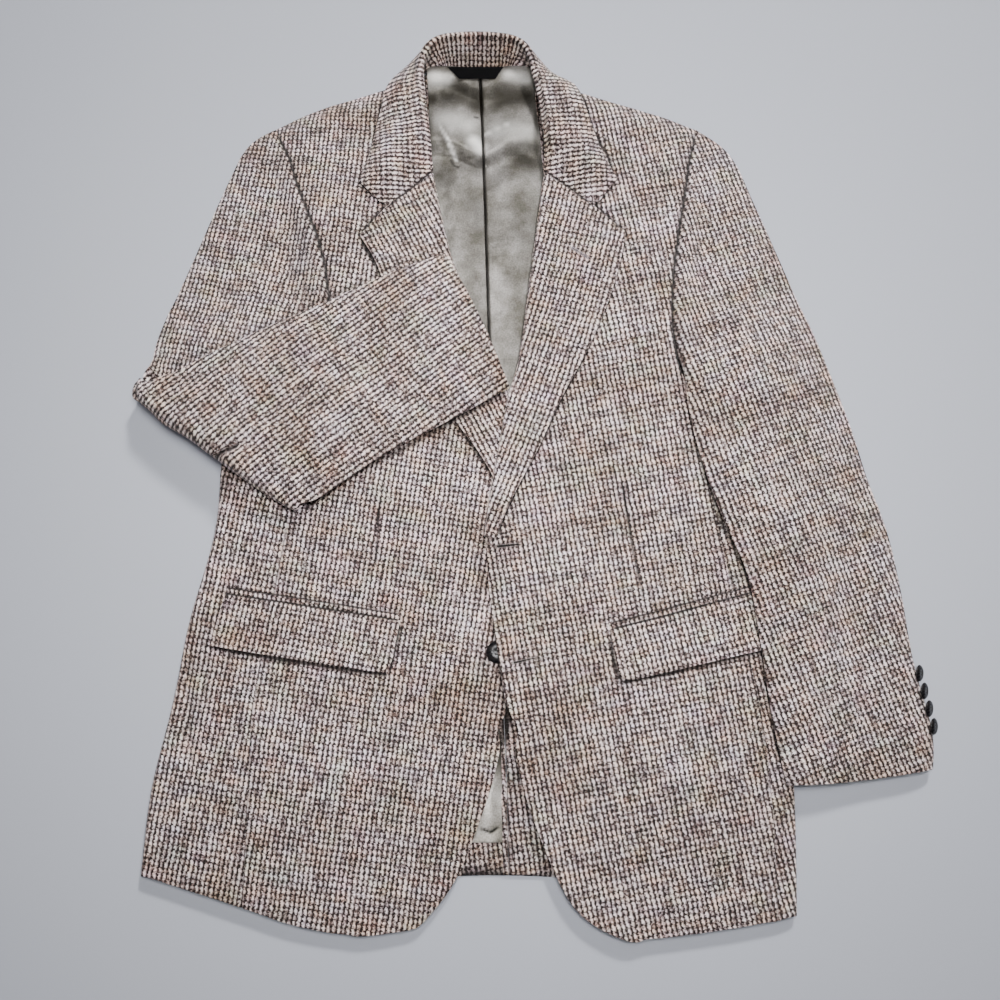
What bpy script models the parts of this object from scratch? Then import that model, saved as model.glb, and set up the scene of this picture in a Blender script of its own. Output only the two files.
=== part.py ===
"""A tweed hacking jacket, laid face up on a flat surface with its right sleeve folded across the chest.

Every cut piece of cloth is a thin wall of its own.  X runs across the jacket (+X is the wearer's
left), Y runs from the hem to the collar and Z is up.  The tables below hold the outlines of the
pieces as they lie, in metres, measured from the waist at the middle of the jacket; the last step
moves the whole jacket so that the middle of its footprint is at the origin.
"""
import math

import bmesh
import bpy
from mathutils import Vector
from mathutils.bvhtree import BVHTree

# ---------------------------------------------------------------- driving sizes, metres
CLOTH = 0.0022            # tweed with its interlining
FACING = 0.0020           # tweed of the lapels
SLEEVE = 0.0018           # tweed of the sleeves
LINING = 0.0010           # satin lining
FLAP = 0.0016             # pocket flaps
JET = 0.0012              # jets and the breast welt
LABEL = 0.0006            # woven neck label
SEAM_GAP = 0.0003         # between two pieces that are sewn together
REST_GAP = 0.0005         # between two pieces that lie on each other
SHOULDER_Z = 0.0065       # height of the shoulder seam, at the rounded edge of the jacket
SHOULDER_ROLL = 0.028     # how far inside the edge the shoulder starts to round off
NECK_DROP = [1.0, 1.0, 1.0, 1.0, 0.8, 0.35, 0.0, 0.0, 0.0]   # share of the shoulder's rise, along the back's top
DRAPE = 0.40              # steepest fall of cloth that lies over an edge
SLEEVE_DRAPE = 0.22       # the same for a sleeve, which is two layers
LEFT_SLEEVE_HALF = 0.0085    # half the thickness of the straight sleeve
RIGHT_SLEEVE_HALF = 0.0065   # half the thickness of one stretch of the folded sleeve
SLEEVE_SQUARENESS = 2.4   # 2 is a round edge, higher is squarer
ARMHOLE_BACK = 0.006      # the back's armhole lies this far outside the front's
LAPEL_INSET = 0.0034      # the front's edge lies this far inside the lapel's roll
LAPEL_ROLL_RADIUS = 0.0043
COLLAR_FOLD_RADIUS = 0.0036
JET_WIDTH = 0.0055
FRONT_BUTTON = {"radius": 0.0105, "height": 0.0036}
CUFF_BUTTON = {"radius": 0.0073, "height": 0.0030}
CUFF_BUTTON_PITCH = 0.0163

# ---------------------------------------------------------------- outlines, metres
# Front to side panel seam, from the hem to the armhole: x, y, z of the cloth's top.
SEAM_RIGHT = [
    (-0.228, -0.366, 0.0130), (-0.226, -0.281, 0.0160), (-0.224, -0.192, 0.0170), (-0.211, -0.105, 0.0170),
    (-0.198, -0.025, 0.0175), (-0.187, 0.050, 0.0195), (-0.1745, 0.112, 0.0235)]
SEAM_LEFT = [
    (0.246, -0.377, 0.0120), (0.244, -0.281, 0.0140), (0.236, -0.192, 0.0155), (0.218, -0.105, 0.0165),
    (0.202, -0.025, 0.0175), (0.188, 0.050, 0.0195), (0.1735, 0.112, 0.0235)]

# The front armhole, from the side panel up to the tip of the shoulder: x, y, z.
ARMHOLE_RIGHT = [
    (-0.1745, 0.112, 0.0235), (-0.1665, 0.138, 0.0260), (-0.1630, 0.168, 0.0270), (-0.1630, 0.195, 0.0270),
    (-0.1680, 0.225, 0.0260), (-0.1780, 0.260, 0.0245), (-0.1955, 0.302, 0.0215), (-0.2080, 0.340, 0.0170),
    (-0.2175, 0.358, 0.0130), (-0.2225, 0.3725, SHOULDER_Z)]
ARMHOLE_LEFT = [
    (0.1735, 0.112, 0.0235), (0.1670, 0.138, 0.0260), (0.1635, 0.164, 0.0270), (0.1640, 0.190, 0.0270),
    (0.1670, 0.225, 0.0260), (0.1730, 0.262, 0.0245), (0.1800, 0.300, 0.0215), (0.1862, 0.336, 0.0170),
    (0.1918, 0.3555, 0.0130), (0.1945, 0.3715, SHOULDER_Z)]

# The shoulder seam, from its tip to the neck point, and the back's neck on to the centre: x, y.
SHOULDER_RIGHT = [(-0.2225, 0.3725), (-0.184, 0.392), (-0.141, 0.406), (-0.110, 0.4165), (-0.088, 0.424)]
SHOULDER_LEFT = [(0.1945, 0.3715), (0.159, 0.3865), (0.120, 0.3985), (0.080, 0.412), (0.052, 0.424)]
NECK_RIGHT = [(-0.078, 0.433), (-0.060, 0.437), (-0.021, 0.437)]
NECK_LEFT = [(0.042, 0.433), (0.022, 0.437), (-0.021, 0.437)]

# The hem of each front, from the side panel to where the corner starts to round: x, y, z.
HEM_RIGHT = [
    (-0.228, -0.366, 0.0130), (-0.190, -0.379, 0.0125), (-0.155, -0.387, 0.0120), (-0.120, -0.391, 0.0110)]
HEM_LEFT = [
    (0.246, -0.377, 0.0120), (0.200, -0.3845, 0.0125), (0.150, -0.391, 0.0125), (0.112, -0.394, 0.0120)]

# The front edge, from the rounded corner at the hem up to the break below the top button: x, y, z.
EDGE_RIGHT = [
    (-0.120, -0.391, 0.0110), (-0.093, -0.390, 0.0100), (-0.073, -0.384, 0.0092), (-0.057, -0.370, 0.0088),
    (-0.043, -0.349, 0.0086), (-0.022, -0.302, 0.0084), (-0.008, -0.262, 0.0082), (0.003, -0.215, 0.0080),
    (0.012, -0.160, 0.0080), (0.016, -0.100, 0.0082)]
EDGE_LEFT = [
    (0.112, -0.394, 0.0120), (0.095, -0.391, 0.0115), (0.078, -0.380, 0.0115), (0.062, -0.360, 0.0115),
    (0.050, -0.338, 0.0115), (0.037, -0.308, 0.0115), (0.022, -0.267, 0.0115), (0.010, -0.215, 0.0120),
    (0.001, -0.160, 0.0140), (-0.005, -0.120, 0.0145), (-0.010, -0.080, 0.0145)]

# The lapel's roll line, from the break to the gorge: x, y, z of the front below it.
ROLL_RIGHT = [
    (0.0190, -0.036, 0.0090), (0.0145, 0.030, 0.0100), (0.0105, 0.088, 0.0105), (0.0005, 0.130, 0.0110),
    (-0.0205, 0.177, 0.0120), (-0.0425, 0.224, 0.0130), (-0.0545, 0.268, 0.0140), (-0.0655, 0.322, 0.0145)]
ROLL_LEFT = [
    (-0.0150, -0.036, 0.0150), (-0.0095, 0.004, 0.0160), (-0.0010, 0.050, 0.0165), (0.0065, 0.093, 0.0165),
    (0.0170, 0.130, 0.0155), (0.0255, 0.190, 0.0150), (0.0335, 0.253, 0.0150), (0.0430, 0.322, 0.0145)]
# From the gorge to the neck point, under the collar.
NECK_EDGE_RIGHT = [(-0.0750, 0.352, 0.0145), (-0.0820, 0.390, 0.0120), (-0.088, 0.424, SHOULDER_Z)]
NECK_EDGE_LEFT = [(0.0500, 0.352, 0.0145), (0.0520, 0.390, 0.0120), (0.052, 0.424, SHOULDER_Z)]

# The lapel's outer edge, from the break to its corner, and the notch: x, y.
LAPEL_EDGE_RIGHT = [
    (0.0070, -0.039), (-0.0070, 0.021), (-0.0450, 0.077), (-0.0790, 0.128), (-0.1030, 0.178),
    (-0.1165, 0.222), (-0.1340, 0.253)]
LAPEL_EDGE_LEFT = [
    (-0.0035, -0.038), (0.0080, -0.008), (0.0360, 0.046), (0.0580, 0.094), (0.0800, 0.134),
    (0.1030, 0.188), (0.1155, 0.232), (0.1200, 0.256)]
NOTCH_RIGHT = (-0.110, 0.2825)
NOTCH_LEFT = (0.091, 0.2835)

# How much each front swells above the blend of its edges: share of its length from the hem, rise.
SWELL = [(0.0, 0.0), (0.12, 0.0015), (0.40, 0.0025), (0.62, 0.0045), (0.80, 0.0040), (0.93, 0.0020), (1.0, 0.0)]

# Side panels, from the hem to the armhole: outer edge x, y; radius of the edge; back seam x, y.
SIDE_RIGHT = [
    (-0.321, -0.340, 0.0060, -0.262, -0.338), (-0.315, -0.265, 0.0068, -0.252, -0.265),
    (-0.299, -0.188, 0.0070, -0.240, -0.188), (-0.288, -0.118, 0.0070, -0.230, -0.112),
    (-0.267, -0.030, 0.0070, -0.216, -0.027), (-0.263, 0.045, 0.0074, -0.208, 0.048),
    (-0.252, 0.108, 0.0080, -0.205, 0.108)]
SIDE_LEFT = [
    (0.264, -0.374, 0.0055, 0.215, -0.362), (0.266, -0.281, 0.0062, 0.214, -0.276),
    (0.264, -0.192, 0.0066, 0.212, -0.190), (0.259, -0.105, 0.0070, 0.208, -0.104),
    (0.252, -0.025, 0.0072, 0.202, -0.024), (0.250, 0.048, 0.0075, 0.198, 0.050),
    (0.246, 0.108, 0.0080, 0.196, 0.108)]

# The back's centre seam and hems: x, y.  The vent opens below VENT_TOP.
CENTRE_BACK = [(0.008, -0.3445), (0.005, -0.227), (-0.004, -0.050), (-0.011, 0.160), (-0.017, 0.348), (-0.021, 0.437)]
VENT_TOP = -0.105
BACK_HEM_RIGHT = [(-0.262, -0.338), (-0.160, -0.341), (-0.060, -0.343), (0.008, -0.3445)]
BACK_HEM_LEFT = [(0.215, -0.362), (0.150, -0.353), (0.080, -0.346), (0.008, -0.3445)]

# Collar, from the right gorge round the neck to the left gorge.
# neck seam x, y, z; fold line x, y, z of its crest; outer edge x, y
COLLAR = [
    (-0.0960, 0.332, 0.0165, -0.0655, 0.3228, 0.0250, -0.1360, 0.3090),
    (-0.1010, 0.362, 0.0165, -0.0685, 0.3600, 0.0262, -0.1265, 0.3430),
    (-0.1020, 0.396, 0.0150, -0.0730, 0.3980, 0.0280, -0.1190, 0.3800),
    (-0.0940, 0.418, 0.0110, -0.0750, 0.4260, 0.0300, -0.1120, 0.4135),
    (-0.0820, 0.429, 0.0080, -0.0720, 0.4400, 0.0320, -0.0990, 0.4355),
    (-0.0680, 0.4360, 0.0060, -0.0610, 0.4510, 0.0335, -0.0780, 0.4590),
    (-0.0460, 0.4375, 0.0052, -0.0440, 0.4545, 0.0340, -0.0480, 0.4700),
    (-0.0210, 0.4375, 0.0052, -0.0210, 0.4555, 0.0340, -0.0210, 0.4715),
    (0.0040, 0.4375, 0.0052, 0.0020, 0.4545, 0.0340, 0.0060, 0.4700),
    (0.0260, 0.4360, 0.0060, 0.0170, 0.4500, 0.0335, 0.0330, 0.4570),
    (0.0410, 0.429, 0.0080, 0.0260, 0.4390, 0.0320, 0.0540, 0.4340),
    (0.0540, 0.418, 0.0110, 0.0310, 0.4220, 0.0300, 0.0740, 0.4165),
    (0.0680, 0.396, 0.0150, 0.0370, 0.3960, 0.0280, 0.0850, 0.3880),
    (0.0740, 0.362, 0.0165, 0.0425, 0.3560, 0.0262, 0.0960, 0.3520),
    (0.0720, 0.332, 0.0165, 0.0430, 0.3228, 0.0250, 0.1130, 0.3120)]
COLLAR_EDGE_Z = 0.0032    # the fall's edge, where it hangs behind the neck

# Straight left sleeve: x, y, from the cuff up.
LEFT_CUFF = [(0.256, -0.2600), (0.300, -0.2585), (0.345, -0.2540), (0.392, -0.2470)]
LEFT_SLEEVE_INNER = [
    (0.256, -0.2600), (0.246, -0.205), (0.238, -0.147), (0.2305, -0.091), (0.224, -0.064), (0.204, -0.015),
    (0.190, 0.025), (0.178, 0.072), (0.1735, 0.112)]
LEFT_SLEEVE_OUTER = [
    (0.392, -0.2470), (0.3935, -0.216), (0.380, -0.152), (0.372, -0.086), (0.362, -0.029), (0.350, 0.006),
    (0.331, 0.070), (0.303, 0.150), (0.275, 0.228), (0.2475, 0.300), (0.232, 0.338), (0.217, 0.358),
    (0.1945, 0.3715)]

# Folded right sleeve: x, y.  The elbow's fold line joins the two stretches.
RIGHT_SLEEVE_OUTER = [
    (-0.343, 0.104), (-0.331, 0.150), (-0.314, 0.197), (-0.295, 0.247), (-0.276, 0.297), (-0.2585, 0.338),
    (-0.2435, 0.3620), (-0.2225, 0.3725)]
RIGHT_SLEEVE_INNER = [(-0.191, -0.019), (-0.182, 0.055), (-0.1745, 0.112)]
ELBOW_FOLD = [(-0.343, 0.104), (-0.306, 0.067), (-0.262, 0.033), (-0.191, -0.019)]
FOREARM_UPPER = [(-0.343, 0.104), (-0.306, 0.114), (-0.267, 0.134), (-0.182, 0.175), (-0.106, 0.211), (-0.054, 0.233)]
FOREARM_LOWER = [(-0.191, -0.019), (-0.172, -0.007), (-0.139, 0.016), (-0.103, 0.042), (-0.044, 0.073), (0.009, 0.103)]
RIGHT_CUFF = [(-0.054, 0.233), (-0.036, 0.203), (-0.013, 0.156), (0.009, 0.103)]

# Pocket flaps and the breast welt, as corners: top left, top right, bottom right, bottom left.
FLAP_RIGHT = [(-0.2525, -0.0900), (-0.0920, -0.1145), (-0.1010, -0.1625), (-0.2650, -0.1370)]
FLAP_LEFT = [(0.1010, -0.1225), (0.2460, -0.0850), (0.2520, -0.1380), (0.1090, -0.1700)]
WELT = [(0.0660, 0.1370), (0.1560, 0.1575), (0.1590, 0.1385), (0.0710, 0.1180)]

# Lining that shows in the neck: share of the way down, width right and left of the centre seam.
LINING_HALF = [(0.0, 0.052, 0.054), (0.5, 0.050, 0.062), (1.0, 0.012, 0.046)]
LINING_TOP_Y = 0.4335
LINING_LOW_Y = 0.060
SKIRT_LEFT_X = -0.075
SKIRT_INSET = 0.0056      # from the centre seam to the skirt's edge
SKIRT_TOP_Y = -0.170
SKIRT_LOW_Y = -0.312
LABEL_CORNERS = [(-0.052, 0.4315), (0.005, 0.4315), (0.005, 0.4185), (-0.052, 0.4185)]
UP = Vector((0.0, 0.0, 1.0))


# ---------------------------------------------------------------- curves and grids
def smoothstep(value):
    """0 below 0, 1 above 1, and a soft ramp between."""
    t = min(max(value, 0.0), 1.0)
    return t * t * (3.0 - 2.0 * t)


def table_value(table, where, column=1):
    """Read a table whose first column is a place at `where`, with soft steps between its rows."""
    for low, high in zip(table, table[1:]):
        if where <= high[0]:
            share = (where - low[0]) / (high[0] - low[0])
            return low[column] + (high[column] - low[column]) * smoothstep(share)
    return table[-1][column]


def vectors(rows):
    """Table rows as vectors, level with the floor where they have no height."""
    return [Vector((row[0], row[1], row[2] if len(row) > 2 else 0.0)) for row in rows]


def shares_of(line):
    """Share of a polyline's length at each of its points."""
    lengths = [0.0]
    for a, b in zip(line, line[1:]):
        lengths.append(lengths[-1] + (b - a).length)
    return [length / lengths[-1] for length in lengths]


def spread(line, places):
    """Points of a polyline at the given shares of its length."""
    marks = shares_of(line)
    found = []
    for place in places:
        k = 0
        while k < len(line) - 2 and marks[k + 1] < place:
            k += 1
        span = marks[k + 1] - marks[k]
        t = (place - marks[k]) / span if span > 0.0 else 0.0
        found.append(line[k].lerp(line[k + 1], min(max(t, 0.0), 1.0)))
    return found


def smooth_line(rows, steps=14):
    """A fine polyline along a smooth curve through table rows."""
    knots = vectors(rows)
    ring = [knots[0] * 2.0 - knots[1]] + knots + [knots[-1] * 2.0 - knots[-2]]
    fine = []
    for k in range(1, len(ring) - 2):
        a, b, c, d = ring[k - 1:k + 3]
        for step in range(steps):
            t = step / steps
            fine.append(0.5 * (2.0 * b + (c - a) * t + (2.0 * a - 5.0 * b + 4.0 * c - d) * t * t
                               + (3.0 * b - a - 3.0 * c + d) * t ** 3))
    fine.append(knots[-1].copy())
    return fine


def curve(rows, places):
    """Points of the smooth curve through table rows, at shares of its length or an even count."""
    if isinstance(places, int):
        places = even(places)
    return spread(smooth_line(rows), places)


def even(count):
    """Even shares from 0 to 1."""
    return [k / (count - 1) for k in range(count)]


def crowded(count):
    """Shares from 0 to 1 that crowd together at both ends."""
    return [0.5 - 0.5 * math.cos(math.pi * k / (count - 1)) for k in range(count)]


def halved(line):
    """A polyline with a point added in the middle of each of its segments."""
    points = [line[0]]
    for a, b in zip(line, line[1:]):
        points += [a.lerp(b, 0.5), b]
    return points


def nudged(line, amount):
    """A line moved sideways in the XY plane, to its right for a positive amount."""
    moved = []
    for k, point in enumerate(line):
        along = line[min(k + 1, len(line) - 1)] - line[max(k - 1, 0)]
        along.z = 0.0
        along.normalize()
        moved.append(point + Vector((along.y, -along.x, 0.0)) * amount)
    return moved


def coons(low, high, near, far):
    """Grid between four sampled sides: rows from low to high, columns from near to far."""
    across = [(a + b) / 2.0 for a, b in zip(shares_of(low), shares_of(high))]
    along = [(a + b) / 2.0 for a, b in zip(shares_of(near), shares_of(far))]
    grid = []
    for i, v in enumerate(along):
        row = []
        for j, u in enumerate(across):
            ruled = low[j].lerp(high[j], v) + near[i].lerp(far[i], u)
            row.append(ruled - low[0].lerp(low[-1], u).lerp(high[0].lerp(high[-1], u), v))
        grid.append(row)
    return grid


def four_sided(corners, columns, rows):
    """Level grid between the corners top left, top right, bottom right and bottom left."""
    top_left, top_right, low_right, low_left = vectors(corners)
    return [[low_left.lerp(low_right, u).lerp(top_left.lerp(top_right, u), v) for u in even(columns)]
            for v in even(rows)]


def blurred(field):
    """A table of heights, each averaged with its neighbours."""
    rows, cols = len(field), len(field[0])
    soft = []
    for i in range(rows):
        soft.append([])
        for j in range(cols):
            near = [field[i][j]] * 2
            near += [field[a][b] for a, b in ((i - 1, j), (i + 1, j), (i, j - 1), (i, j + 1))
                     if 0 <= a < rows and 0 <= b < cols]
            soft[i].append(sum(near) / len(near))
    return soft


def draped(need, grid, steepest):
    """Spread a table of rises so that the cloth falls away from them no steeper than `steepest`."""
    rows, cols = len(need), len(need[0])
    soft = [row[:] for row in need]
    for _ in range(max(rows, cols)):
        before = [row[:] for row in soft]
        for i in range(rows):
            for j in range(cols):
                for a, b in ((i - 1, j), (i + 1, j), (i, j - 1), (i, j + 1)):
                    if 0 <= a < rows and 0 <= b < cols:
                        fall = steepest * (grid[a][b] - grid[i][j]).xy.length
                        soft[i][j] = max(soft[i][j], before[a][b] - fall)
        if soft == before:
            break
    return [[max(a, b) for a, b in zip(*pair)] for pair in zip(soft, blurred(soft))]


# ---------------------------------------------------------------- cloth walls
def skin_normals(grid, seams):
    """Outward normals of a grid.

    `seams` turns the normals along a side upright, where it meets a piece in the same sheet, or
    level, where it meets a piece below or above it.  Where the two kinds of side meet at the tip of
    the shoulder, the normal runs along the upright side.
    """
    rows, cols = len(grid), len(grid[0])
    normals = []
    for i in range(rows):
        normals.append([])
        for j in range(cols):
            du = grid[i][min(j + 1, cols - 1)] - grid[i][max(j - 1, 0)]
            dv = grid[min(i + 1, rows - 1)][j] - grid[max(i - 1, 0)][j]
            normals[i].append(du.cross(dv).normalized())
    sides = {"bottom": [(0, j) for j in range(cols)], "top": [(rows - 1, j) for j in range(cols)],
             "left": [(i, 0) for i in range(rows)], "right": [(i, cols - 1) for i in range(rows)]}
    for side, way in seams.items():
        for i, j in sides[side]:
            normal = normals[i][j]
            if way == "upright" or (way == "shoulder" and grid[i][j].z < 0.003):
                normals[i][j] = UP * (1.0 if normal.z >= 0.0 else -1.0)
            else:
                normals[i][j] = Vector((normal.x, normal.y, 0.0)).normalized()
    for (i, j), (up_down, left_right) in {(0, 0): ("bottom", "left"), (0, cols - 1): ("bottom", "right"),
                                          (rows - 1, 0): ("top", "left"),
                                          (rows - 1, cols - 1): ("top", "right")}.items():
        ways = (seams.get(up_down), seams.get(left_right))
        next_row = grid[1 if i == 0 else rows - 2][j]
        next_column = grid[i][1 if j == 0 else cols - 2]
        if ways[1] == "upright" and ways[0] in ("level", "shoulder"):
            along = grid[i][j] - next_row
        elif ways[0] == "upright" and ways[1] == "level":
            along = grid[i][j] - next_column
        else:
            continue
        if 0.003 < grid[i][j].z < SHOULDER_Z * 1.5:
            normals[i][j] = Vector((along.x, along.y, 0.0)).normalized()
    return normals


def solid_between(outer, inner):
    """A closed mesh whose two skins are the grids `outer` and `inner`."""
    rows, cols = len(outer), len(outer[0])
    cloth = bmesh.new()
    bmesh.ops.create_grid(cloth, x_segments=cols - 1, y_segments=rows - 1, size=1.0)
    place = cloth.verts.layers.int.new("place")
    for k, vert in enumerate(cloth.verts):
        vert[place] = k
        vert.co = inner[k // cols][k % cols]
    extruded = bmesh.ops.extrude_face_region(cloth, geom=cloth.faces[:])
    place = cloth.verts.layers.int["place"]
    for item in extruded["geom"]:
        if isinstance(item, bmesh.types.BMVert):
            item.co = outer[item[place] // cols][item[place] % cols]
    cloth.verts.layers.int.remove(place)
    bmesh.ops.recalc_face_normals(cloth, faces=cloth.faces)
    return cloth


def wall(grid, thickness, seams=None):
    """A closed wall of cloth: the grid is its outer skin, and the inner one lies behind it."""
    normals = skin_normals(grid, seams or {})
    inner = [[p - n * thickness for p, n in zip(*pair)] for pair in zip(grid, normals)]
    return solid_between(grid, inner)


class Jacket:
    """The pieces made so far, their surfaces, and the seam lines they share."""

    def __init__(self, collection):
        self.collection = collection
        self.surfaces = {}
        self.seams = {}

    def add(self, name, cloth, finish):
        """Make the object of a closed mesh."""
        mesh = bpy.data.meshes.new(name)
        cloth.to_mesh(mesh)
        cloth.free()
        mesh.materials.append(finish)
        mesh.shade_smooth()
        mesh.set_sharp_from_angle(angle=math.radians(50.0))
        piece = bpy.data.objects.new(name, mesh)
        self.collection.objects.link(piece)
        self.note(name, [v.co.copy() for v in mesh.vertices], [tuple(p.vertices) for p in mesh.polygons])

    def note(self, name, points, faces):
        """Keep a surface for later pieces to lie on."""
        self.surfaces[name] = BVHTree.FromPolygons(points, faces)

    def height(self, names, x, y, reach=0.0):
        """Highest point of the named pieces at (x, y), or within `reach` of it."""
        spots = [(0.0, 0.0)]
        if reach > 0.0:
            spots += [(reach, 0.0), (-reach, 0.0), (0.0, reach), (0.0, -reach)]
        best = 0.0
        for name in names:
            for dx, dy in spots:
                hit = self.surfaces[name].ray_cast(Vector((x + dx, y + dy, 1.0)), -UP)[0]
                if hit is not None:
                    best = max(best, hit.z)
        return best

    def lifts(self, low, below, reach=0.003, samples=5, least=None, seam_from=None, steepest=DRAPE):
        """How far each point of a lower skin must rise to lie just above the named pieces.

        `least` gives rises that are kept in any case.  From the row `seam_from` on, the first column
        and the last row are seams to a piece beside them, which doesn't lift them.
        """
        rows, cols = len(low), len(low[0])
        need = [row[:] for row in least] if least else [[0.0] * cols for _ in range(rows)]
        for i in range(rows - 1):
            at_seam = seam_from is not None and i >= seam_from
            for j in range(cols - 1):
                worst = 0.0
                for v in even(samples):
                    left, right = low[i][j].lerp(low[i + 1][j], v), low[i][j + 1].lerp(low[i + 1][j + 1], v)
                    for u in even(samples):
                        if at_seam and ((j == 0 and u < 0.2) or (i == rows - 2 and v > 0.8)):
                            continue
                        spot = left.lerp(right, u)
                        top = self.height(below, spot.x, spot.y, 0.0 if at_seam else reach)
                        if top > 0.0:
                            worst = max(worst, top + REST_GAP - spot.z)
                for a, b in ((i, j), (i + 1, j), (i, j + 1), (i + 1, j + 1)):
                    need[a][b] = max(need[a][b], worst)
        return draped(need, low, steepest)

    def settle(self, grid, thickness, below, reach=0.003, samples=5):
        """Lift a wall's outer skin so that the wall lies on the pieces below it."""
        low = [[p - UP * thickness for p in row] for row in grid]
        for row, rise in zip(grid, self.lifts(low, below, reach=reach, samples=samples)):
            for point, amount in zip(row, rise):
                point.z += amount
        return grid

    def lay(self, name, grid, thickness, below, finish):
        """Lay a small level piece on the pieces below it and make it."""
        for row in grid:
            for point in row:
                point.z = self.height(below, point.x, point.y) + SEAM_GAP + thickness
        self.settle(grid, thickness, below, reach=0.0015)
        self.add(name, wall(grid, thickness), finish)


# ---------------------------------------------------------------- body
def shoulder_curl(distance):
    """How far round the shoulder's rounded edge a point is: 0 at the edge, 1 inside the roll."""
    inside = min(max(distance / SHOULDER_ROLL, 0.0), 1.0)
    return math.sqrt(max(0.0, 1.0 - (1.0 - inside) ** 2))


def side_rows(side, count):
    """The side panel's lines at `count` even rows: top seam, outer edge, radius and back seam."""
    table = SIDE_RIGHT if side == "right" else SIDE_LEFT
    seam = curve(SEAM_RIGHT if side == "right" else SEAM_LEFT, count)
    edge = curve([row[:3] for row in table], count)
    back = halved(vectors([row[3:5] for row in table]))
    return seam, edge, back


def make_back(jacket, side, tweed):
    """One back panel, flat on the floor, rounding up to the shoulder seam."""
    right = side == "right"
    sign = -1.0 if right else 1.0
    table = SIDE_RIGHT if right else SIDE_LEFT
    armhole = vectors([row[:2] for row in (ARMHOLE_RIGHT if right else ARMHOLE_LEFT)])
    hole = nudged(armhole, sign * ARMHOLE_BACK)[1:]
    hole[-1] = armhole[-1]
    side_line = [p - Vector((sign * SEAM_GAP / 2.0, 0.0, 0.0)) for p in vectors([row[3:5] for row in table])] + hole
    places = shares_of(side_line)
    centre = [p + Vector((sign * SEAM_GAP / 2.0, 0.0, 0.0)) for p in curve(CENTRE_BACK, places)]
    shoulder = curve(SHOULDER_RIGHT if right else SHOULDER_LEFT, 6)
    neck = vectors(NECK_RIGHT if right else NECK_LEFT)
    top = [Vector((p.x, p.y, 0.0)) for p in shoulder] + neck
    top[-1].x = centre[-1].x
    hem = curve(BACK_HEM_RIGHT if right else BACK_HEM_LEFT, shares_of(top))
    hem[0], hem[-1] = side_line[0], centre[0]
    grid = coons(hem, top, side_line, centre)
    for row in grid:
        for j, point in enumerate(row):
            curl = 1.0 - shoulder_curl((grid[-1][j] - point).xy.length)
            point.z = (SHOULDER_Z - SEAM_GAP) * curl * NECK_DROP[j]
    jacket.seams[f"back_armhole_{side}"] = [row[0].copy() for row in grid[len(table):]]
    seams = {"left": "upright", "right": "upright", "top": "shoulder"}
    if not right:
        jacket.add(f"back_{side}", wall(grid, CLOTH, seams), tweed)
    else:
        jacket.add(f"back_{side}", wall([row[::-1] for row in grid], CLOTH, seams), tweed)


def make_side(jacket, side, tweed):
    """A side panel: from its seam to the front, round the jacket's edge, to its seam to the back."""
    right = side == "right"
    sign = -1.0 if right else 1.0
    grid = []
    for top, edge, back in zip(*side_rows(side, 13)):
        start = top + Vector((sign * SEAM_GAP / 2.0, 0.0, 0.0))
        radius = min(edge.z, (top.z - 0.0008) / 2.0)
        bend = Vector((edge.x - sign * radius, edge.y, radius))
        row = []
        for t in even(5):
            point = start.lerp(bend, t)
            point.z = top.z + (2.0 * radius - top.z) * t ** 1.6
            row.append(point)
        for angle in (42.0, 84.0, 132.0, 180.0):
            turn = math.radians(angle)
            row.append(bend + Vector((sign * radius * math.sin(turn), 0.0, radius * math.cos(turn))))
        end = back + Vector((sign * SEAM_GAP / 2.0, 0.0, 0.0))
        row[-1].z = 0.0
        row += [row[-1].lerp(end, 0.5), end]
        grid.append(row[::-1] if right else row)
    jacket.add(f"side_body_{side}", wall(grid, CLOTH, {"left": "upright", "right": "upright"}), tweed)


def front_grid(side):
    """The outer skin of a front, before it settles on what lies below it."""
    right = side == "right"
    sign = -1.0 if right else 1.0
    seam, _, _ = side_rows(side, 13)
    armhole = vectors(ARMHOLE_RIGHT if right else ARMHOLE_LEFT)
    outer = nudged(seam + armhole[1:], -sign * SEAM_GAP / 2.0)
    outer[:len(seam)] = [p - Vector((sign * SEAM_GAP / 2.0, 0.0, 0.0)) for p in seam]
    outer[-1] = armhole[-1].copy()
    roll = nudged(vectors(ROLL_RIGHT if right else ROLL_LEFT), sign * LAPEL_INSET)
    edge_rows = vectors(EDGE_RIGHT if right else EDGE_LEFT) + roll
    edge_rows += vectors(NECK_EDGE_RIGHT if right else NECK_EDGE_LEFT)
    edge = curve(edge_rows, shares_of(outer))
    top = halved(curve(SHOULDER_RIGHT if right else SHOULDER_LEFT, 6))
    for point in top:
        point.z = SHOULDER_Z
    hem = curve(HEM_RIGHT if right else HEM_LEFT, shares_of(top))
    hem[0] = outer[0]
    grid = coons(hem, top, outer, edge)
    jacket_end = len(grid) - 1
    across = shares_of(top)
    along = shares_of(outer)
    for i, row in enumerate(grid[:-1]):
        rise = table_value(SWELL, along[i])
        for j, point in enumerate(row):
            point.z += rise * math.sin(math.pi * across[j]) ** 0.7
            if j == 0:
                continue
            inside = (grid[jacket_end][j] - point).xy.length
            full = max(point.z, 0.0170)
            rolled = SHOULDER_Z + (full - SHOULDER_Z) * shoulder_curl(inside)
            point.z = rolled + (point.z - rolled) * smoothstep((inside / SHOULDER_ROLL - 0.8) / 2.0)
    jacket_seam = [row[0].copy() for row in grid[len(seam) - 1:]]
    return grid, jacket_seam


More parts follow.
